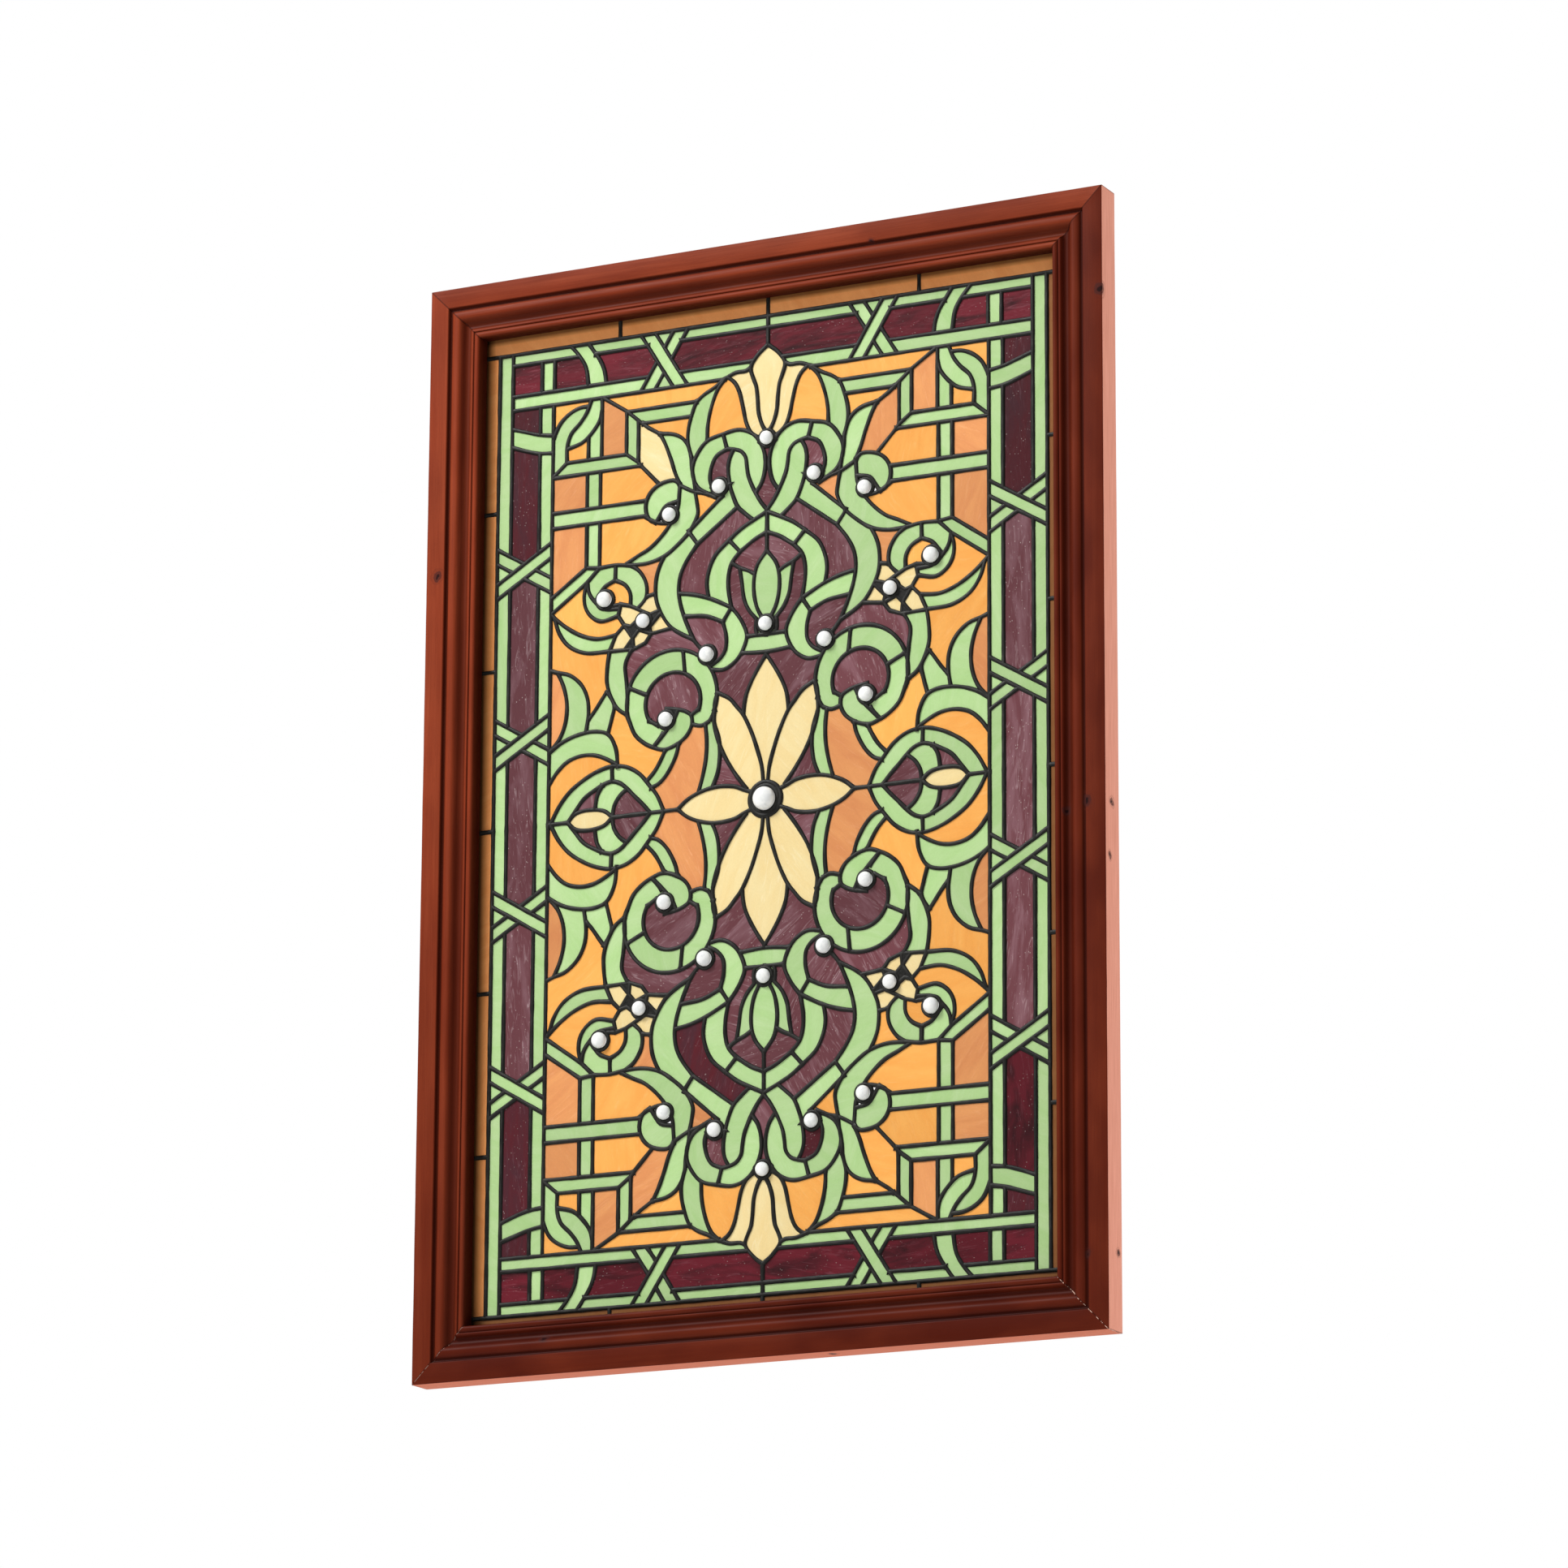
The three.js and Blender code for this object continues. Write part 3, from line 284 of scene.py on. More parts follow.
def smooth(points, step=2.6):
    """A centripetal Catmull-Rom curve through the points."""
    pts = [Vector(p) for p in points]
    pts = [2 * pts[0] - pts[1], *pts, 2 * pts[-1] - pts[-2]]
    curve = []
    for p0, p1, p2, p3 in zip(pts, pts[1:], pts[2:], pts[3:]):
        t1 = (p1 - p0).length ** 0.5
        t2 = t1 + (p2 - p1).length ** 0.5
        t3 = t2 + (p3 - p2).length ** 0.5
        count = max(1, round((p2 - p1).length / step))
        for k in range(count):
            t = t1 + (t2 - t1) * k / count
            a1 = p0.lerp(p1, t / t1)
            a2 = p1.lerp(p2, (t - t1) / (t2 - t1))
            a3 = p2.lerp(p3, (t - t2) / (t3 - t2))
            b1 = a1.lerp(a2, t / t2)
            b2 = a2.lerp(a3, (t - t1) / (t3 - t1))
            curve.append(tuple(b1.lerp(b2, (t - t1) / (t2 - t1))))
    return [*curve, tuple(pts[-2])]


def arc(cx, cz, radius, start, end, count=60):
    angles = [math.radians(start + (end - start) * k / count) for k in range(count + 1)]
    return [(cx + radius * math.cos(a), (cz + radius * math.sin(a)) * Z_SCALE) for a in angles]


SIDE_BAND = {"low": 197.5, "inner": 209.8, "outer": 236.2, "high": 248.5}
TOP_BAND = {"low": 357, "inner": 369, "outer": 395.8, "high": 405.5}
SQUEEZE = {"from": 335, "to": 373, "by": 4}  # what the lower band loses, by height
SIDE_CROSSINGS = [72, 217.5]
TOP_CROSSINGS = [95]
SIDE_STRIP = (6.35, 0.596)  # half width across the band and slope
TOP_STRIP = (6.6, 0.62)


def crossing(place, run, half, slope):
    """Two strips that cross like an X; one passes over the other."""
    lines = []
    for edge in (-half, half):
        stops = [(edge - half) / (2 * slope), (edge + half) / (2 * slope)]
        pieces = [(slope, -run, run), (-slope, -run, stops[0]), (-slope, stops[1], run)]
        lines += [[place(u, edge + lean * u) for u in ends] for lean, *ends in pieces]
    return lines


def broken_line(start, end, crossings, reach, place):
    """A line along a band, broken where the strips of the crossings pass over it."""
    lines = []
    for at in crossings:
        lines.append([place(start), place(at - reach)])
        start = at + reach
    lines.append([place(start), place(end)])
    return lines


def band_lines(band, crossings, strip, inner_lines, way, place):
    """The strips that cross on a band and the lines inside it, drawn by place from the
    distance along the band and the height across it. Way is the sense of the crossings."""
    middle = (band["low"] + band["high"]) / 2
    half, slope = strip
    lines = []
    for at in crossings:
        lines += crossing(
            lambda u, v: place(at + way * v, middle + u), middle - band["low"], half, slope)
    reach = half + slope * (middle - band["inner"])
    for key, start, end in inner_lines:
        lines += broken_line(start, end, crossings, reach, lambda along: place(along, band[key]))
    return lines


def on_segment(p, a, b):
    """The point of segment ab nearest to p."""
    a, b, p = Vector(a), Vector(b), Vector(p)
    along = b - a
    t = (p - a).dot(along) / (along.length_squared or 1)
    return a + along * min(1, max(0, t))


NEAR = 2.4  # a loose end is run up to a track that is this near
TOUCH = 0.02  # points nearer than this are one point
OVERRUN = 0.25  # how far past the track's middle a joined end runs


def join_ends(lines, tracks):
    """Runs each loose end of a line up to the track beside it, and just past it."""
    joined = []
    for own, line in enumerate(lines):
        ends = []
        for end in (line[0], line[-1]):
            best = None
            held = False
            for other, track in enumerate(tracks):
                if other == own:
                    continue
                meets = any(math.dist(end, tip) < TOUCH for tip in (track[0], track[-1]))
                for a, b in zip(track, track[1:]):
                    if min(a[0], b[0]) > end[0] + NEAR or max(a[0], b[0]) < end[0] - NEAR:
                        continue
                    foot = on_segment(end, a, b)
                    gap = (foot - Vector(end)).length
                    if gap < TOUCH:
                        held = held or not meets
                    elif gap < NEAR and not meets and (best is None or gap < best[0]):
                        best = (gap, foot)
            if best and not held:
                over = best[1] + (best[1] - Vector(end)).normalized() * OVERRUN
                ends.append([tuple(over)])
            else:
                ends.append([])
        joined.append([*ends[0], *line, *ends[1]])
    return joined


def collar(x, z, radius, count=28):
    """The middle line of the solder round a jewel, kept to the quarter."""
    reach = radius + COLLAR_GAP
    turns = [2 * math.pi * k / count for k in range(count + 1)]
    ring = [(x + reach * math.cos(a), z * Z_SCALE + reach * math.sin(a)) for a in turns]
    return [[a, b] for a, b in zip(ring, ring[1:]) if min(*a, *b) > -1.2]


def quarter_lines():
    """Every line of the quarter, as drawn."""
    drawn = [line for text in DRAWING.values() for line in rows(text)]
    drawn += [arc(*shape) for shape in DISK_ARCS]
    drawn += band_lines(
        SIDE_BAND, SIDE_CROSSINGS, SIDE_STRIP, [("inner", 0, 317.2), ("outer", 0, DRAWN_BORDER_Z)],
        -1, lambda along, across: (across, along * Z_SCALE))
    drawn += band_lines(
        TOP_BAND, TOP_CROSSINGS, TOP_STRIP, [("inner", 13, SIDE_BAND["outer"]), ("outer", 0, 160)],
        1, lambda along, across: (along, across * Z_SCALE))
    return drawn


DRAWN = quarter_lines()
COLLARS = [side for seat in SEATS for side in collar(*seat)]
LINES = join_ends(DRAWN, DRAWN + COLLARS)


def place_z(z, side):
    """Height in the pattern. The upper and lower border strips end at the field's edge,
    and the lower band is a little narrower."""
    if z >= (BORDER_Z + QUARTER_Z) / 2:
        return FIELD_UP if side > 0 else -FIELD_DOWN
    if side > 0:
        return z
    t = min(1, max(0, (z - SQUEEZE["from"]) / (SQUEEZE["to"] - SQUEEZE["from"])))
    return SQUEEZE["by"] * t * t * (3 - 2 * t) - z


def spot(x, z, side_x=1, side_z=1, y=0.0):
    """A point of the quarter, mirrored into one of the four and moved into the row frame."""
    return Vector((CENTRE.x + side_x * x * MM, y, CENTRE.z + place_z(z, side_z) * MM))


QUARTERS = [(side_x, side_z) for side_x in (1, -1) for side_z in (1, -1)]

# ---- meshes ----


def put_in_scene(name, data):
    thing = bpy.data.objects.new(name, data)
    bpy.context.scene.collection.objects.link(thing)
    return thing


def add_piece(name, verts, faces, material, attributes=None, smooth_angle=40):
    """A mesh object that rides on the panel."""
    mesh = bpy.data.meshes.new(name)
    mesh.from_pydata([tuple(v) for v in verts], [], faces)
    for key, values in (attributes or {}).items():
        layer = mesh.attributes.new(key, "FLOAT_VECTOR", "POINT")
        layer.data.foreach_set("vector", [c for value in values for c in value])
    mesh.materials.append(material)
    mesh.update()
    piece = put_in_scene(name, mesh)
    mesh.shade_smooth()
    mesh.set_sharp_from_angle(angle=math.radians(smooth_angle))
    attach(piece, "root")
    return piece


def tube(first, rings, ring, closed=True):
    """The faces of a tube of rings of points, numbered from first, with ring points each."""
    faces = []
    last = first + (rings - 1) * ring
    for a in range(first, last, ring):
        for k in range(ring):
            after = (k + 1) % ring
            faces.append((a + k, a + after, a + ring + after, a + ring + k))
    if closed:
        faces += [tuple(range(first, first + ring))[::-1], tuple(range(last, last + ring))]
    return faces


def waver(x, z, size, seed=0.0):
    """Smooth noise from -1 to 1 over the pattern, in millimetres."""
    return noise.noise(Vector((x / size, z / size, seed)))

# ---- tiles ----


def sides_of(triangle):
    a, b, c = triangle
    return [(a, b), (b, c), (c, a)]


def quarter_tiles():
    """The tiles of the quarter: lists of triangles of (x, z) points, cut apart by the lines."""
    points, edges = [], []
    outline = [(0, 0), (FIELD_X, 0), (FIELD_X, QUARTER_Z), (0, QUARTER_Z)]
    for line in [*LINES, *COLLARS, [*outline, outline[0]]]:
        inside = [(min(max(x, 0), FIELD_X), min(max(z, 0), QUARTER_Z)) for x, z in line]
        first = len(points)
        points += [Vector(p) for p in inside]
        edges += [(first + k, first + k + 1) for k in range(len(inside) - 1)]
    verts, cut_edges, triangles, _, sources, _ = delaunay_2d_cdt(points, edges, [], 0, TOUCH)
    walls = {frozenset(edge) for edge, source in zip(cut_edges, sources) if source}
    beside = {}
    for index, triangle in enumerate(triangles):
        for side in map(frozenset, sides_of(triangle)):
            beside.setdefault(side, []).append(index)
    tile_of = {}
    tiles = []
    for start in range(len(triangles)):
        if start in tile_of:
            continue
        tile_of[start] = len(tiles)
        stack = [start]
        members = []
        while stack:
            index = stack.pop()
            triangle = triangles[index]
            members.append(triangle)
            for side in map(frozenset, sides_of(triangle)):
                for other in beside[side] if side not in walls else []:
                    if other not in tile_of:
                        tile_of[other] = tile_of[start]
                        stack.append(other)
        tiles.append(members)
    return verts, tiles


def holds(tile, x, z):
    """Whether a drawn point lies in the tile."""
    for triangle in tile:
        turns = [
            (q.x - p.x) * (z * Z_SCALE - p.y) - (x - p.x) * (q.y - p.y)
            for p, q in sides_of(TILE_VERTS[i] for i in triangle)]
        if min(turns) >= 0 or max(turns) <= 0:
            return True
    return False


TILE_VERTS, TILES = quarter_tiles()
SMALLEST_TILE = 5.0  # square millimetres; less than this is solder
TILE_SINK = 0.3 * MM  # how far a tile's face lies behind the foot of the solder
WEB_RISE = 0.9 * MM  # how far flooded solder stands in front of the tiles
STEP, TILT, LIFT_LIMIT = 0.16, 0.004, 0.28  # how tiles stand out, lean and at most do both


def glass_of(tile):
    """The glass that a tile is cut from, or none where solder fills the gap."""
    for glass, text in GLASS_OF_TILE.items():
        for pair in text.split():
            if holds(tile, *map(float, pair.split(","))):
                return glass
    return "none"


def middle(tile):
    """The middle of a tile and its area."""
    x = z = total = 0.0
    for triangle in tile:
        a, b, c = (TILE_VERTS[i] for i in triangle)
        part = abs((b.x - a.x) * (c.y - a.y) - (c.x - a.x) * (b.y - a.y)) / 2
        x += part * (a.x + b.x + c.x) / 3
        z += part * (a.y + b.y + c.y) / 3
        total += part
    return x / total, z / total, total


def is_seat(x, z, size):
    """Whether a tile with this middle and area lies under a jewel."""
    return any(
        size < 4 * r * r and math.hypot(x - seat_x, z - seat_z * Z_SCALE) < r
        for seat_x, seat_z, r in SEATS)


def cut_of(index, side_x, side_z, tile):
    """How a tile was cut from its sheet: turn, shift, shade and tilt. The halves of a
    tile that crosses an axis of the pattern share one cut."""
    xs = [TILE_VERTS[i].x for t in tile for i in t]
    zs = [TILE_VERTS[i].y for t in tile for i in t]
    on_upright = min(xs) < 0.05
    on_level = min(zs) < 0.05
    key = index * 4 + (0 if on_upright else 1 + side_x) + (0 if on_level else (1 + side_z) // 2)
    chance = random.Random(key * 7919 + 11)
    turn = chance.uniform(0, math.pi)
    shift = Vector((chance.uniform(-3, 3), chance.uniform(-3, 3)))
    shade = chance.uniform(-1, 1)
    tilt = (0, 0) if on_upright or on_level else (chance.uniform(-1, 1), chance.uniform(-1, 1))
    return turn, shift, shade, tilt, chance.uniform(-1, 1)


def glass_pieces():
    """One mesh for each kind of glass. Every tile is a closed slab with its own cut, and
    a gap that holds no glass is flooded with solder."""
    cast = {glass: ([], [], [], []) for glass in [*GLASS_OF_TILE, "none"]}
    for index, tile in enumerate(TILES):
        x_mid, z_mid, size = middle(tile)
        if size < SMALLEST_TILE or is_seat(x_mid, z_mid, size):
            continue
        usual = glass_of(tile)
        odd = {quarter: other for x, z, quarter, other in ODD_TILES if holds(tile, x, z)}
        used = sorted({i for t in tile for i in t})
        count = len(used)
        order = {i: k for k, i in enumerate(used)}
        sides = [(order[i], order[j]) for t in tile for i, j in sides_of(t)]
        both_ways = set(sides)
        rim = [(a, b) for a, b in sides if (b, a) not in both_ways]
        for side_x, side_z in QUARTERS:
            glass = odd.get((side_x, side_z), usual)
            verts, faces, sheets, cuts = cast[glass]
            turn, shift, shade, tilt, lean = cut_of(index, side_x, side_z, tile)
            if usual in BANDS or (usual == "purple" and x_mid > SIDE_BAND["low"]):
                turn = BANDS.get(usual, math.pi / 2) + 0.12 * lean
            tone = shade
            # painted light and shade on the edge strips: lighter along the top and the left, darker
            # along the right and the bottom
            if glass == "edge_amber_lit_and_shaded":  # dull along the right and the bottom
                tone = 0.1 * shade + (side_z if x_mid < SIDE_BAND["high"] else -side_x)
            base = len(verts)
            for at_back in (False, True):
                for i in used:
                    x, z = TILE_VERTS[i]
                    lift = STEP * shade + TILT * (tilt[0] * (x - x_mid) + tilt[1] * (z - z_mid))
                    lift = max(-LIFT_LIMIT, min(LIFT_LIMIT, lift)) * MM
                    if glass == "none":
                        lift = -WEB_RISE
                    y = GLASS_BACK - BACK_RISE * MM if at_back else GLASS_FRONT + TILE_SINK + lift
                    at = spot(x, z, side_x, side_z, y)
                    verts.append(at)
                    u = (at.x - CENTRE.x) / MM
                    v = (at.z - CENTRE.z) / MM
                    along = u * math.cos(turn) + v * math.sin(turn)
                    across = v * math.cos(turn) - u * math.sin(turn)
                    sheets.append((along / 100 + shift.x, across / 100 + shift.y, lean))
                    cuts.append((tone, u / 100, v / 100))
            skin = []
            for t in tile:
                a, b, c = (base + order[i] for i in t)
                skin += [(a, b, c), (a + count, c + count, b + count)]
            for a, b in rim:
                skin.append((base + b, base + a, base + count + a, base + count + b))
            faces += skin if side_x * side_z > 0 else [face[::-1] for face in skin]
    pieces = []
    for glass, (verts, faces, sheets, cuts) in cast.items():
        if glass == "none":
            spread = [(v.x / MM / 100, v.z / MM / 100, 0.7) for v in verts]
            pieces.append(add_piece(
                "solder_webs", verts, faces, SOLDER, {"spread": spread}))
            continue
        pieces.append(add_piece(
            f"glass_{glass}", verts, faces, GLASS_MATERIALS[glass],
            {"sheet": sheets, "cut": cuts}, smooth_angle=20))
    return pieces

# ---- solder ----


def resample(line, step):
    """Points every step or so along a line, keeping its corners."""
    pts = [Vector(line[0])]
    for a, b in zip(line, line[1:]):
        a, b = Vector(a), Vector(b)
        count = max(1, math.ceil((b - a).length / step))
        pts += [a.lerp(b, k / count) for k in range(1, count + 1)]
    return [p for k, p in enumerate(pts) if k == 0 or (p - pts[k - 1]).length > 0.05]


FOOT = 0.35  # a bead's foot lies this far inside the glass


def bead(verts, faces, marks, path, ground, half_width, height, arc_steps):
    """A run of solder along a path of (x, z) points in the row frame, in millimetres.
    Ground is the y of the glass and 1 or -1 for a bead on its front or its back."""
    ring = arc_steps + 1
    first = len(verts)
    surface, out = ground
    for k, p in enumerate(path):
        before = path[max(k - 1, 0)]
        after = path[min(k + 1, len(path) - 1)]
        along = (after - before).normalized()
        side = Vector((-along.y, along.x))
        w = half_width(k)
        h = height(k)
        bend = 1.0
        if 0 < k < len(path) - 1:
            cosine = (p - before).normalized().dot((after - p).normalized())
            bend = min(1.5, 1 / max(0.5, math.sqrt(max(0.0, (1 + cosine) / 2))))
        for step in range(ring):
            angle = math.pi * step / arc_steps
            across = side * (-math.cos(angle) * w * bend)
            rise = math.sin(angle) ** 0.8 * h
            x, z = p + across
            verts.append(Vector((x, surface - out * (rise - FOOT), z)) * MM)
            marks.append((x / 100, z / 100, math.sin(angle)))
    skin = tube(first, len(path), ring)
    faces += skin if out > 0 else [face[::-1] for face in skin]


def whole_lines():
    """Every solder line of the window, in millimetres from the row frame's origin."""
    whole = []
    for line in LINES:
        on_upright = max(abs(x) for x, _ in line) < 0.3
        on_level = max(abs(z) for _, z in line) < 0.3
        for side_x, side_z in QUARTERS:
            if (on_upright and side_x < 0) or (on_level and side_z < 0):
                continue
            spots = [spot(x, z, side_x, side_z) for x, z in line]
            whole.append([(at.x / MM, at.z / MM) for at in spots])
    return whole


JEWELS = [(x * sx, z * Z_SCALE * sz, r) for x, z, r in QUARTER_JEWELS for sx, sz in QUARTERS]
JEWELS += [(x, z * Z_SCALE * sz, r) for x, z, r in AXIS_JEWELS for sz in (1, -1)]
JEWELS += [CENTRE_JEWEL]


def solder(name, ground, step, arc_steps, half, height, collars):
    """The leading of one side: a bead along every line and, with collars, round each jewel."""
    verts, faces, marks = [], [], []
    for number, line in enumerate(whole_lines()):
        path = resample(line, step)
        if len(path) < 2:
            continue
        run = [0.0]
        for a, b in zip(path, path[1:]):
            run.append(run[-1] + (b - a).length)

        def half_width(k):
            p = path[k]
            near_end = math.exp(-min(run[k], run[-1] - run[k]) / 2.2)
            drift = 0.16 * waver(p.x, p.y, 26, 1.7) + 0.10 * waver(p.x, p.y, 7, number * 0.37)
            return half * (1 + drift) + 0.3 * near_end

        def rise(k):
            p = path[k]
            return height * (1 + 0.18 * waver(p.x, p.y, 9, 5.1 + number * 0.21))

        bead(verts, faces, marks, path, ground, half_width, rise, arc_steps)
    if collars:
        for x, z, r in JEWELS:
            centre = Vector((CENTRE.x / MM + x, CENTRE.z / MM + z))
            wide_rings = [(r + COLLAR_GAP, 2.6), (r + 3.6, 2.4)]
            for reach, wide in wide_rings if r > 8 else [(r + COLLAR_GAP, 1.75)]:
                count = max(28, round(reach * 3.2))
                loop = []
                for k in range(count + 1):
                    angle = 2 * math.pi * k / count
                    out = Vector((math.cos(angle), math.sin(angle)))
                    wobble = 0.22 * waver(x + 9 * out.x, z + 9 * out.y, 6, 8.8)
                    loop.append(centre + out * (reach + wobble))
                bead(
                    verts, faces, marks, loop, ground, lambda k: wide, lambda k: height * 1.25,
                    arc_steps)
    add_piece(name, verts, faces, SOLDER, {"spread": marks}, smooth_angle=60)

# ---- jewels ----


def jewel_piece(node):
    """A smooth pressed cabochon in the place of its faceted solid."""
    low, high = (Vector(corner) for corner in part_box(node))
    centre = (low + high) / 2
    facets = 12 if node == "jewel_centre" else 8
    radius = (high.x - low.x) / 2 / math.cos(math.pi / facets) * 0.985
    rise = high.y - low.y
    count = 40
    rings = 9
    verts = []
    chance = random.Random(node)
    for k in range(rings):
        angle = math.pi / 2 * k / rings
        r = radius * math.cos(angle) ** 0.92
        y = high.y - rise * (0.12 + 0.88 * math.sin(angle) ** 0.96)
        if k == 0:
            y = high.y
        for step in range(count):
            turn = 2 * math.pi * step / count
            reach = r * (1 - 0.012 * (1 + math.sin(2 * turn + chance.uniform(0, 0.2))))
            verts.append((centre.x + reach * math.cos(turn), y, centre.z + reach * math.sin(turn)))
    verts += [(centre.x, low.y, centre.z), (centre.x, high.y, centre.z)]
    top, bottom = len(verts) - 2, len(verts) - 1
    faces = tube(0, rings, count, closed=False)
    last = (rings - 1) * count
    for step in range(count):
        after = (step + 1) % count
        faces += [(last + step, last + after, top), (after, step, bottom)]
    piece = add_piece(f"{node}_cabochon", verts, faces, JEWEL, smooth_angle=50)
    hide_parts(node)

# ---- the wooden frame ----

FACE = 45.0  # the width of a member, seen from the front
DEPTH = (FRAME_HIGH.y - FRAME_LOW.y) / MM
JOINT_GAP = 0.08  # from a member's end to the mitre
GROOVE_DEPTH = 8.1
GROOVE_FRONT = (GLASS_FRONT - SOLDER_RISE - FRAME_LOW.y) / MM - 0.3
GROOVE_BACK = (GLASS_BACK - FRAME_LOW.y) / MM + 0.3
GROOVE_FLOOR = FACE - GROOVE_DEPTH
STAIN_AND_SHADE = [  # how dark the stain and the painted shade in the hollows are, by the distance from the outer edge
    (-1, 0), (16, 0), (17.2, 0.9), (19.2, 0.9), (20.6, 0.1), (25.4, 0), (28, 0.3), (30, 0.6),
    (35.6, 0.6), (36.8, 0.2), (38.6, 0), (39.6, 0.8), (40.6, 0.1), (42.6, 0), (44.2, 0.2),
    (FACE, 0.8),
]


def rounded(points, radius, steps=3):
    """A closed outline with each corner eased by an arc of the radius, where it fits."""
    outline = []
    count = len(points)
    for k, p in enumerate(points):
        p = Vector(p)
        before = Vector(points[k - 1]) - p
        after = Vector(points[(k + 1) % count]) - p
        reach = min(radius, before.length * 0.46, after.length * 0.46)
        a = p + before.normalized() * reach
        b = p + after.normalized() * reach
        for step in range(steps + 1):
            t = step / steps
            outline.append(a.lerp(p, t).lerp(p.lerp(b, t), t))
    return outline


def member_section():
    """u from the frame's outer edge inwards, y back from the front, in millimetres."""
    moulding = [
        (0, DEPTH - 2.6), (0, 0), (16.8, 0), (17.3, 2.2), (18.2, 2.7), (19.4, 2.5),
        (20.4, 1.5), (21.5, 0.9), (23, 0.5), (25.2, 0.35), (26.8, 0.8), (28.1, 1.8),
        (29.1, 3.2), (30.2, 4.8), (31.6, 5.9), (33.4, 6.4), (35.2, 6), (36.3, 5), (36.9, 3.8),
        (37.6, 3.1), (38.6, 2.9), (39.3, 3.3), (39.7, 4), (40.2, 3.3), (41.2, 2.6), (42.6, 2.3),
        (43.9, 2.8), (44.7, 3.8), (FACE, 5.2),
    ]
    inner = [
        (FACE, GROOVE_FRONT), (GROOVE_FLOOR, GROOVE_FRONT),
        (GROOVE_FLOOR, GROOVE_BACK), (FACE, GROOVE_BACK),
        (FACE, DEPTH), (2.6, DEPTH), (0.7, DEPTH - 0.7),
    ]
    return rounded([*moulding, *inner], 0.9)


def stain_and_shade_at(u, y):
    """How dark the wood is: stain with painted shade in the hollows, pale outer faces with painted
    light.
    """
    if u < 0.5 and y > 0.5:
        return -1.0
    if y > 10:
        return 1.2 if u > 40 else 0.0
    for (u0, dark0), (u1, dark1) in zip(STAIN_AND_SHADE, STAIN_AND_SHADE[1:]):
        if u <= u1:
            return dark0 + (dark1 - dark0) * (u - u0) / (u1 - u0)
    return STAIN_AND_SHADE[-1][1]


def member(name, node, length, turn, at):
    """A mitred member of the frame. It is drawn along X with its outer edge on top."""
    section = member_section()
    stations = round(length / 9)
    chance = random.Random(name)
    offset = chance.uniform(-4, 4)
    verts, grain, stain_and_shade = [], [], []
    place = Matrix.Translation(at) @ Matrix.Rotation(turn, 4, "Y")
    girth = [0.0]
    for p, q in zip(section, section[1:]):
        girth.append(girth[-1] + (q - p).length)
    for station in range(stations + 1):
        share = 2 * station / stations - 1
        for k, (u, y) in enumerate(section):
            x = share * (length / 2 - u - JOINT_GAP)
            ease = 0.10 * (1 + waver(x, u * 4, 34, offset))
            worn = 0.25 * max(0, waver(x, u, 13, offset + 3)) if u < 1 or 40 < u else 0
            inset = Vector((0, min(1, max(0, 1 - y / 8)) * (ease + worn), 0))
            edge = -u if u > 1 else -u - 0.08 * (1 + waver(x, y, 40, offset))
            verts.append(place @ (Vector((x, y, edge)) * MM + inset * MM))
            grain.append((x / 100, girth[k] / 100, offset))
            # stain with painted shade in the hollows and on the inner wall, then the distance to the
            # mitre
            stain_and_shade.append((stain_and_shade_at(u, y), (1 - abs(share)) * (length / 2 - u) * 0.7, 0))
    piece = add_piece(
        name, verts, tube(0, stations + 1, len(section)), WOODS[name],
        {"grain": grain, "stain_and_shade": stain_and_shade}, smooth_angle=35)
    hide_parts(node)


def frame_pieces():
    width = (FRAME_HIGH.x - FRAME_LOW.x) / MM
    height = (FRAME_HIGH.z - FRAME_LOW.z) / MM
    front = FRAME_LOW.y
    centre_z = (FRAME_LOW.z + FRAME_HIGH.z) / 2
    member("rail_top", "top_rail", width, 0, (0, front, FRAME_HIGH.z))
    member("rail_bottom", "bottom_rail", width, math.pi, (0, front, FRAME_LOW.z))
    member("stile_left", "left_stile", height, -math.pi / 2, (FRAME_LOW.x, front, centre_z))
    member("stile_right", "right_stile", height, math.pi / 2, (FRAME_HIGH.x, front, centre_z))

# ---- materials ----


def linear(*values):
    """A display colour, 0 to 255, as a linear one."""
    channels = []
    for value in values:
        c = value / 255
        channels.append(c / 12.92 if c <= 0.04045 else ((c + 0.055) / 1.055) ** 2.4)
    return (*channels, 1.0)


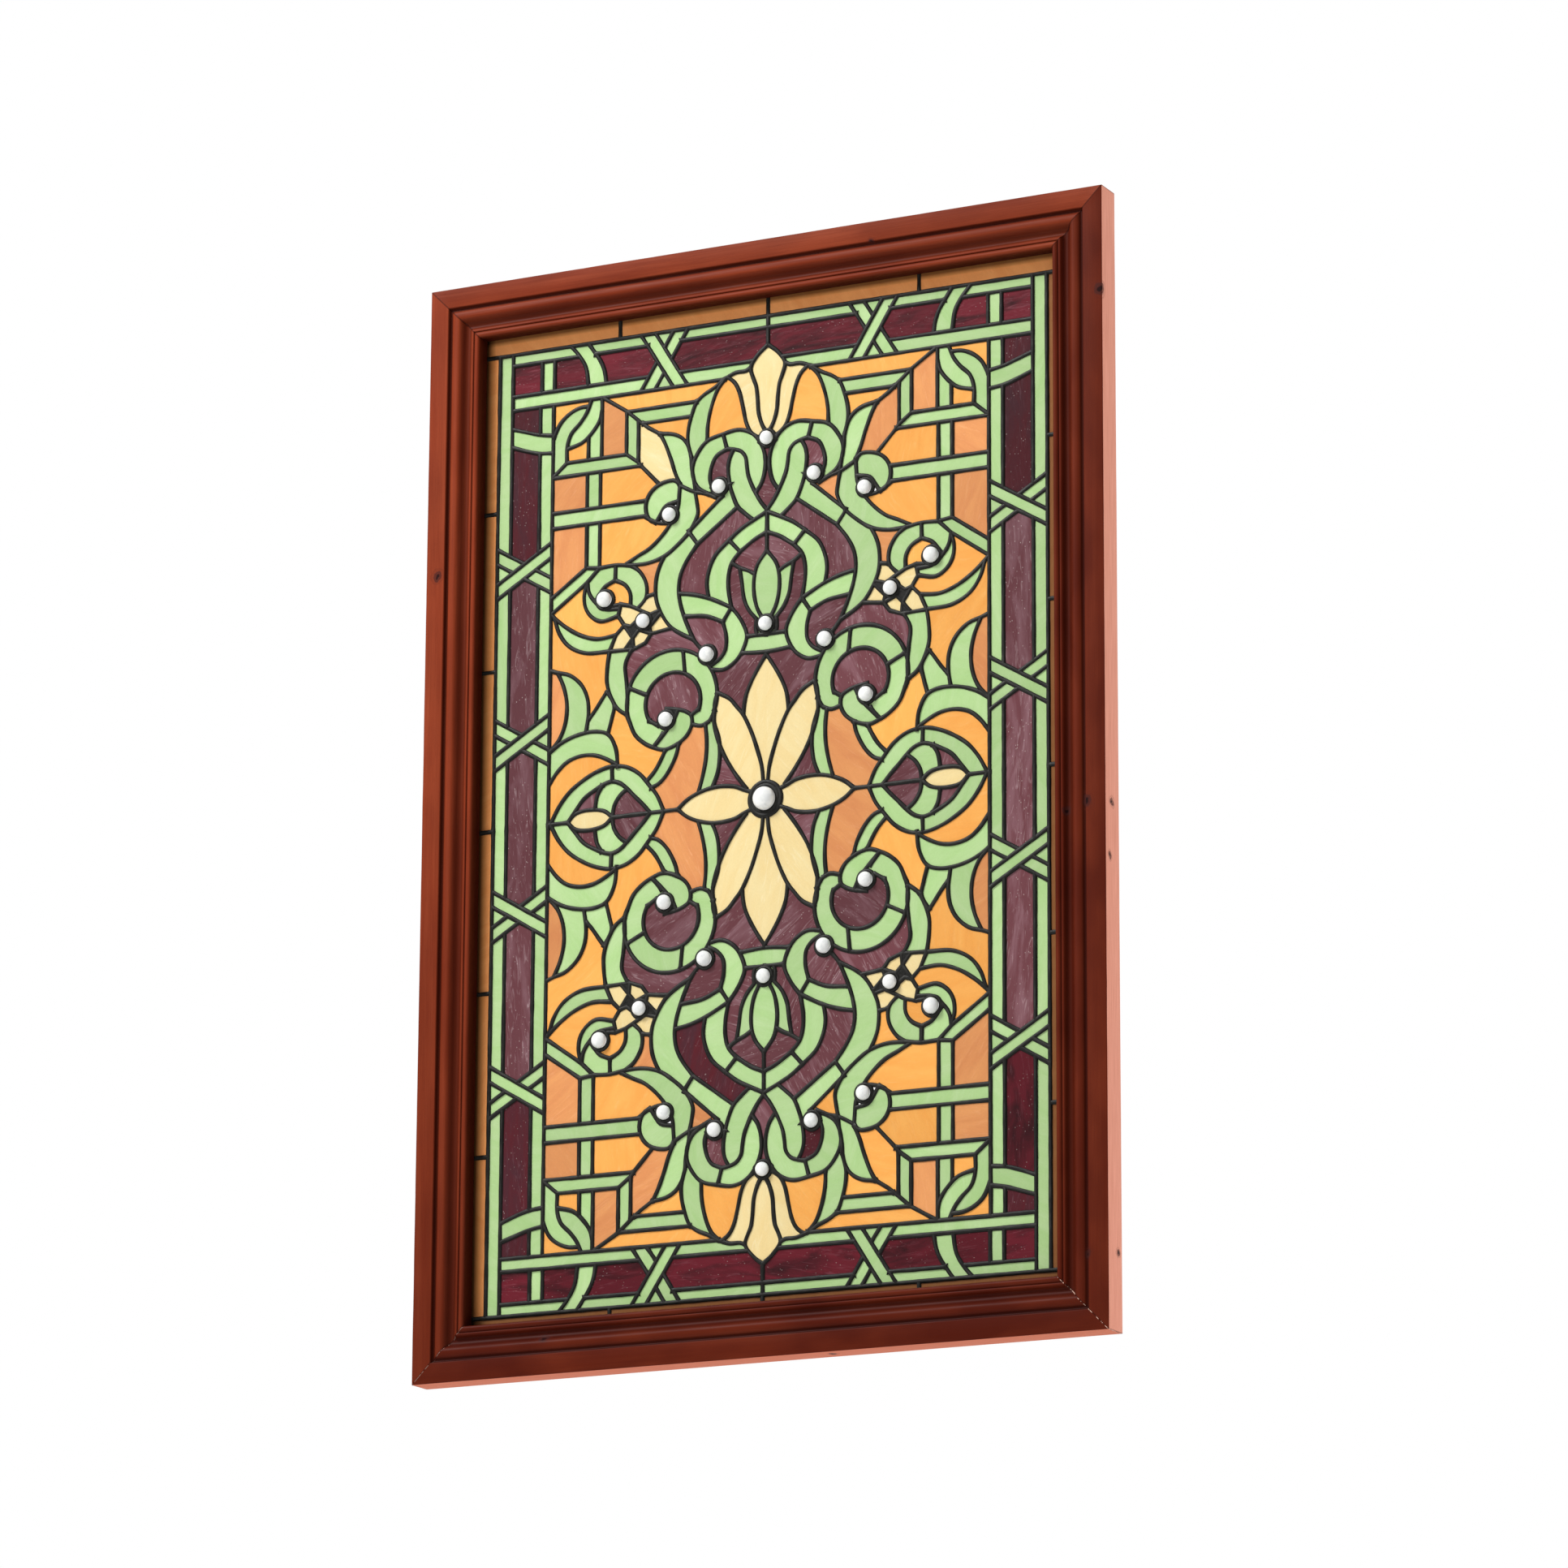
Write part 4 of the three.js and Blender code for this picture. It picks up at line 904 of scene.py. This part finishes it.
class Nodes:
    """A short way to write the node tree of a material or of the world."""

    def __init__(self, name, owners=bpy.data.materials, shader="Principled BSDF"):
        self.owner = owners.new(name)
        self.owner.use_nodes = True
        self.tree = self.owner.node_tree
        self.shader = self.tree.nodes[shader]

    def add(self, kind, inputs=None, **settings):
        node = self.tree.nodes.new(kind)
        for key, value in settings.items():
            setattr(node, key, value)
        for key, value in (inputs or {}).items():
            self.put(value, node.inputs[key])
        return node

    def put(self, value, socket):
        if isinstance(value, bpy.types.NodeSocket):
            self.tree.links.new(value, socket)
        else:
            socket.default_value = value

    def surface(self, **values):
        for key, value in values.items():
            self.put(value, self.shader.inputs[key.replace("_", " ")])

    def attribute(self, name):
        return self.add("ShaderNodeAttribute", attribute_name=name).outputs["Vector"]

    def noise(self, vector, scale, detail=3.0, rough=0.5, distortion=0.0):
        node = self.add("ShaderNodeTexNoise", {
            "Vector": vector, "Scale": scale, "Detail": detail,
            "Roughness": rough, "Distortion": distortion})
        return node.outputs["Fac"]

    def math(self, operation, a, b=0.0):
        return self.add("ShaderNodeMath", {0: a, 1: b}, operation=operation).outputs[0]

    def times(self, a, b):
        return self.math("MULTIPLY", a, b)

    def remap(self, value, low, high, to_low=0.0, to_high=1.0):
        node = self.add("ShaderNodeMapRange", {
            "Value": value, "From Min": low, "From Max": high, "To Min": to_low, "To Max": to_high})
        return node.outputs["Result"]

    def mix(self, share, a, b):
        """Two colours mixed, each a socket or a display colour."""
        a, b = (linear(*colour) if isinstance(colour, tuple) else colour for colour in (a, b))
        return self.add("ShaderNodeMix", {0: share, 6: a, 7: b}, data_type="RGBA").outputs[2]

    def stretch(self, vector, scale):
        return self.add("ShaderNodeMapping", {"Vector": vector, "Scale": scale}).outputs["Vector"]

    def scale(self, vector, by):
        return self.add("ShaderNodeVectorMath", {0: vector, 3: by}, operation="SCALE").outputs[0]

    def split(self, vector):
        return self.add("ShaderNodeSeparateXYZ", {"Vector": vector}).outputs

    def bump(self, height, strength, distance):
        node = self.add("ShaderNodeBump", {
            "Height": height, "Strength": strength, "Distance": distance * MM})
        return node.outputs["Normal"]


def glass_material(name, base, streak, wisp, streaks, wisps, seeds, shade, wall_shadow=False):
    """Streaky opal glass: two colours drawn out along the sheet, paler wisps, and seeds,
    the small bubbles of hand-rolled glass. Shade is how far its tiles differ. Glass with
    the wall flag set is darkened by a painted shadow of the frame's left and upper walls."""
    n = Nodes(f"{name}_opal_glass")
    sheet = n.attribute("sheet")
    tone, along, up = n.split(n.attribute("cut"))
    flow = n.noise(n.stretch(sheet, (1.6, 7.0, 1.0)), 1.0, 4.0, 0.55, 0.9)
    colour = n.mix(n.remap(flow, 0.32, 0.68, 0.0, streaks * 2), base, streak)
    fine = n.noise(n.stretch(sheet, (3.2, 22.0, 1.0)), 1.3, 5.0, 0.6, 1.6)
    colour = n.mix(n.remap(fine, 0.56, 0.78, 0.0, wisps * 2), colour, wisp)
    grainy = n.noise(n.stretch(sheet, (60.0, 90.0, 1.0)), 1.0, 2.0, 0.6)
    colour = n.mix(n.remap(grainy, 0.35, 0.7, 0.0, 0.05), colour, (60, 60, 50))
    lightness = n.remap(tone, -1.0, 1.0, 1.0 - shade, 1.0 + shade)
    # painted shadow of the frame's left and upper walls on the glass beside them
    if wall_shadow:
        left = n.remap(along, -2.6, -2.53, 0.08, 1.0)
        top = n.remap(up, 4.13, 4.17, 1.0, 0.25)
        lightness = n.times(lightness, n.times(left, top))
    colour = n.scale(colour, lightness)
    if seeds:
        cells = n.add("ShaderNodeTexVoronoi", {
            "Vector": n.stretch(sheet, (26.0, 40.0, 1.0)), "Scale": 1.0, "Randomness": 1.0},
            feature="F1")
        bubble = n.remap(cells.outputs["Distance"], 0.1, 0.17, seeds, 0.0)
        chance = n.noise(n.stretch(sheet, (9.0, 9.0, 1.0)), 1.0, 1.0)
        bubble = n.times(bubble, n.remap(chance, 0.42, 0.58))
        colour = n.mix(bubble, colour, (205, 190, 185))
    ripple = n.noise(n.stretch(sheet, (8.0, 16.0, 1.0)), 1.0, 2.0, 0.5, 0.4)
    n.surface(
        Base_Color=colour, Roughness=0.24, IOR=1.5, Specular_IOR_Level=0.25,
        Normal=n.bump(ripple, 0.35, 0.6))
    return n.owner


GLASS_KINDS = {  # colours of base, streak and wisp; streaks, wisps, seeds, shade, and the wall flag for a painted shadow of the frame's walls
    "green": ((178, 206, 148), (163, 199, 130), (202, 222, 180), 0.4, 0.12, 0, 0.1),
    "amber": ((244, 174, 90), (238, 160, 76), (250, 206, 142), 0.4, 0.15, 0, 0.1),
    # the edge strips' amber: shade 0.6 is the painted light and shade by side, and the flag adds the
    # painted wall shadow
    "edge_amber_lit_and_shaded": ((206, 137, 80), (197, 124, 68), (214, 154, 100), 0.4, 0.15, 0, 0.6, True),
    "peach": ((221, 151, 94), (206, 131, 82), (236, 180, 134), 0.4, 0.2, 0, 0.12),
    "cream": ((232, 212, 158), (228, 198, 134), (242, 230, 194), 0.3, 0.25, 0, 0.05),
    "purple": ((126, 88, 95), (102, 58, 64), (170, 142, 146), 0.85, 0.4, 0.5, 0.22),
    "plum": ((66, 32, 40), (78, 24, 32), (116, 84, 92), 0.6, 0.2, 0.35, 0.25),
    "maroon": ((52, 16, 22), (96, 24, 36), (134, 78, 88), 0.8, 0.25, 0.25, 0.3),
}
GLASS_MATERIALS = {name: glass_material(name, *values) for name, values in GLASS_KINDS.items()}


def solder_material():
    """Dark patina on tin-lead solder, rubbed brighter along the crown of the bead."""
    n = Nodes("patina_solder")
    spread = n.attribute("spread")
    mottled = n.noise(spread, 60.0, 4.0, 0.6)
    cloud = n.noise(spread, 9.0, 3.0, 0.5)
    colour = n.mix(n.remap(mottled, 0.35, 0.7), (14, 14, 12), (36, 35, 32))
    crown = n.times(n.remap(n.split(spread)[2], 0.8, 1.0), n.remap(cloud, 0.45, 0.7))
    colour = n.mix(n.times(crown, 0.35), colour, (92, 92, 88))
    n.surface(
        Base_Color=colour, Metallic=0.15, Roughness=n.remap(mottled, 0.3, 0.7, 0.36, 0.52),
        Specular_IOR_Level=0.2, Normal=n.bump(n.noise(spread, 45.0, 3.0, 0.6), 0.3, 0.4))
    return n.owner


def jewel_material():
    """White opal glass, glossy, with a faint cloud in it."""
    n = Nodes("white_opal_jewel")
    place = n.add("ShaderNodeTexCoord").outputs["Object"]
    cloud = n.noise(place, 160.0, 3.0, 0.5, 0.6)
    colour = n.mix(n.remap(cloud, 0.35, 0.7), (243, 243, 240), (222, 224, 224))
    n.surface(
        Base_Color=colour, Roughness=0.1, IOR=1.52, Specular_IOR_Level=0.6, Coat_Weight=0.4,
        Coat_Roughness=0.05)
    return n.owner


def wood_material(name, depth, worn, thin_stain_and_light, knots, dusk=0.0):
    """Stained pine under satin varnish, darker where depth is more than 0, chipped along
    the mitres where worn. Knots are (along, across, radius) in millimetres; across starts
    at the outer face's back edge. Dusk darkens the end where along is below 0."""
    n = Nodes(f"stained_wood_{name}")
    grain = n.attribute("grain")
    bend = n.add("ShaderNodeTexNoise", {"Vector": grain, "Scale": 14.0, "Detail": 2.0})
    bend = n.add("ShaderNodeVectorMath", {0: bend.outputs["Color"], 1: (0.5, 0.5, 0.5)},
                 operation="SUBTRACT").outputs[0]
    warped = n.split(n.add("ShaderNodeVectorMath", {0: grain, 1: n.scale(bend, 0.06)}).outputs[0])
    swirl = None
    for k_along, k_across, radius in knots:
        da = n.math("SUBTRACT", warped[0], k_along / 100)
        dc = n.math("SUBTRACT", warped[1], k_across / 100)
        squared = n.math("ADD", n.times(da, da), n.times(dc, dc))
        near = n.math("DIVIDE", squared, (radius / 100) ** 2)
        near = n.math("DIVIDE", 1.0, n.math("ADD", near, 1.0))
        swirl = near if swirl is None else n.math("MAXIMUM", swirl, near)
    broad = n.noise(n.stretch(grain, (0.5, 11.0, 1.0)), 1.0, 3.0, 0.5, 0.5)
    fibres = n.noise(n.stretch(grain, (2.2, 120.0, 1.0)), 1.0, 4.0, 0.6, 0.2)
    pores = n.noise(n.stretch(grain, (14.0, 260.0, 1.0)), 1.0, 2.0, 0.5)
    cloud = n.noise(n.stretch(grain, (1.3, 3.0, 1.0)), 1.0, 2.0, 0.5)
    along = n.split(grain)[0]
    stain_and_shade, mitre, _ = n.split(n.attribute("stain_and_shade"))
    tone = n.mix(n.remap(broad, 0.32, 0.68), (130, 50, 25), (150, 66, 38))
    for field, low, high, least, most, colour in (
            (fibres, 0.4, 0.7, 0.0, 0.4, (112, 38, 18)),
            (pores, 0.6, 0.75, 0.0, 0.3, (78, 24, 12)),
            (cloud, 0.35, 0.65, depth + 0.25, depth, (74, 20, 8)),
            (along, 0.5, -4.5, 0.0, dusk, (66, 16, 6)),
            # stain together with painted shade in the quirks, coves and along the inner wall
            (stain_and_shade, 0.0, 1.0, 0.0, 0.9, (44, 6, 2))):
        tone = n.mix(n.remap(field, low, high, least, most), tone, colour)
    # the outer faces' pale colour: partly a thin stain, partly painted light, palest on the right stile
    pale_outer_face = n.mix(n.remap(fibres, 0.35, 0.7, 0.0, 0.4), thin_stain_and_light, (170, 92, 68))
    tone = n.mix(n.remap(stain_and_shade, -0.1, -0.9, 0.0, 1.0), tone, pale_outer_face)
    if swirl is not None:
        rings = n.math("SINE", n.times(swirl, 22.0))
        ringed = n.times(n.remap(rings, 0.0, 1.0), n.remap(swirl, 0.2, 0.5, 0.0, 0.5))
        tone = n.mix(ringed, tone, (84, 30, 20))
        tone = n.mix(n.remap(swirl, 0.42, 0.62, 0.0, 0.7), tone, (62, 30, 28))
        tone = n.mix(n.remap(swirl, 0.8, 0.93, 0.0, 0.85), tone, (22, 6, 8))
    tone = n.mix(n.remap(mitre, 0.2, 0.7, 0.55, 0.0), tone, (40, 10, 6))
    if worn:
        chips = n.noise(n.stretch(grain, (46.0, 46.0, 1.0)), 1.0, 3.0, 0.6)
        chipped = n.times(n.remap(mitre, 0.3, 0.6, 1.0, 0.0), n.remap(chips, 0.49, 0.54))
        chipped = n.times(chipped, n.remap(along, -0.5, 0.5, 1.0, 0.3))
        tone = n.mix(chipped, tone, (226, 184, 166))
    n.surface(
        Base_Color=tone, Roughness=n.remap(fibres, 0.3, 0.7, 0.42, 0.54), IOR=1.45,
        Specular_IOR_Level=0.06, Normal=n.bump(fibres, 0.2, 0.3))
    return n.owner


SOLDER = solder_material()
JEWEL = jewel_material()
# the colour in each entry is the outer faces' thin stain with painted light on them
WOODS = {
    "rail_top": wood_material("rail_top", 0.2, False, (206, 132, 108), [(102, 42, 2.6)]),
    "rail_bottom": wood_material(
        "rail_bottom", 0.72, True, (200, 112, 84), [(186, 58, 4.5), (-66, 14, 3.5)]),
    "stile_left": wood_material(
        "stile_left", 0.06, False, (206, 132, 108), [(211, 36, 4.6)], dusk=0.55),
    "stile_right": wood_material(
        "stile_right", 0.66, False, (228, 156, 134),
        [(-371, 27, 5.5), (43, 42, 5.5), (48, 66, 3.8), (43, 14, 3.6), (86, 18, 3.0),
         (398, 44, 4.0), (396, 7, 3.0)]),
}

# ---- the panel ----

for piece in glass_pieces():
    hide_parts("leaded_glass")
solder(
    "solder_front", (GLASS_FRONT / MM, 1), step=3.2, arc_steps=6, half=1.78, height=1.3,
    collars=True)
solder(
    "solder_back", (GLASS_BACK / MM - BACK_RISE, -1), step=5.0, arc_steps=4, half=1.6,
    height=0.45, collars=False)
for node in frame["nodes"]:
    if node.startswith("jewel_"):
        jewel_piece(node)
frame_pieces()

# ---- floor, light and camera ----


def floor():
    size = 30.0
    level = -1.95
    mesh = bpy.data.meshes.new("floor")
    mesh.from_pydata(
        [(-size, -size, level), (size, -size, level), (size, size, level), (-size, size, level)],
        [], [(0, 1, 2, 3)])
    n = Nodes("pale_floor")
    n.surface(Base_Color=linear(235, 235, 233), Roughness=0.7)
    mesh.materials.append(n.owner)
    put_in_scene("floor", mesh)


def area_light(name, at, target, size, power):
    lamp = bpy.data.lights.new(name, "AREA")
    lamp.size = size
    lamp.energy = power
    light = put_in_scene(name, lamp)
    light.location = at
    light.rotation_euler = (Vector(target) - Vector(at)).to_track_quat("-Z", "Y").to_euler()


def world():
    """White to look at. What falls on the object is dimmer, and least from the front."""
    n = Nodes("studio", bpy.data.worlds, "Background")
    way = n.split(n.add("ShaderNodeTexCoord").outputs["Generated"])
    fall = n.remap(way["Y"], -0.7, 0.2, 0.32, 0.95)
    seen = n.add("ShaderNodeLightPath").outputs["Is Camera Ray"]
    strength = n.add("ShaderNodeMix", {0: seen, 2: fall, 3: 1.0}).outputs[0]
    n.surface(Color=(1, 1, 1, 1), Strength=strength)
    bpy.context.scene.world = n.owner


def camera():
    yaw, pitch, roll = (math.radians(a) for a in (-27.205, 14.334, 0.297))
    forward = Vector((math.sin(yaw) * math.cos(pitch), math.cos(yaw) * math.cos(pitch), math.sin(pitch)))
    level = Vector((math.cos(yaw), -math.sin(yaw), 0))
    upright = level.cross(forward)
    right = math.cos(roll) * level + math.sin(roll) * upright
    up = -math.sin(roll) * level + math.cos(roll) * upright
    data = bpy.data.cameras.new("camera")
    data.lens = 158.1
    data.sensor_width = 36
    data.clip_end = 100
    eye = put_in_scene("camera", data)
    turn = Matrix((right, up, -forward)).transposed().to_4x4()
    eye.matrix_world = Matrix.Translation((2.4403, -4.7242, -1.7861)) @ turn
    bpy.context.scene.camera = eye


floor()
world()
area_light("key_upper_left", (-2.1, -2.4, 2.6), (0, 0, -0.45), 1.1, 215)
area_light("side_right", (2.8, 0.3, -1.2), (0.3, 0, -0.45), 1.4, 16)
camera()
bpy.context.scene.view_settings.view_transform = "Standard"
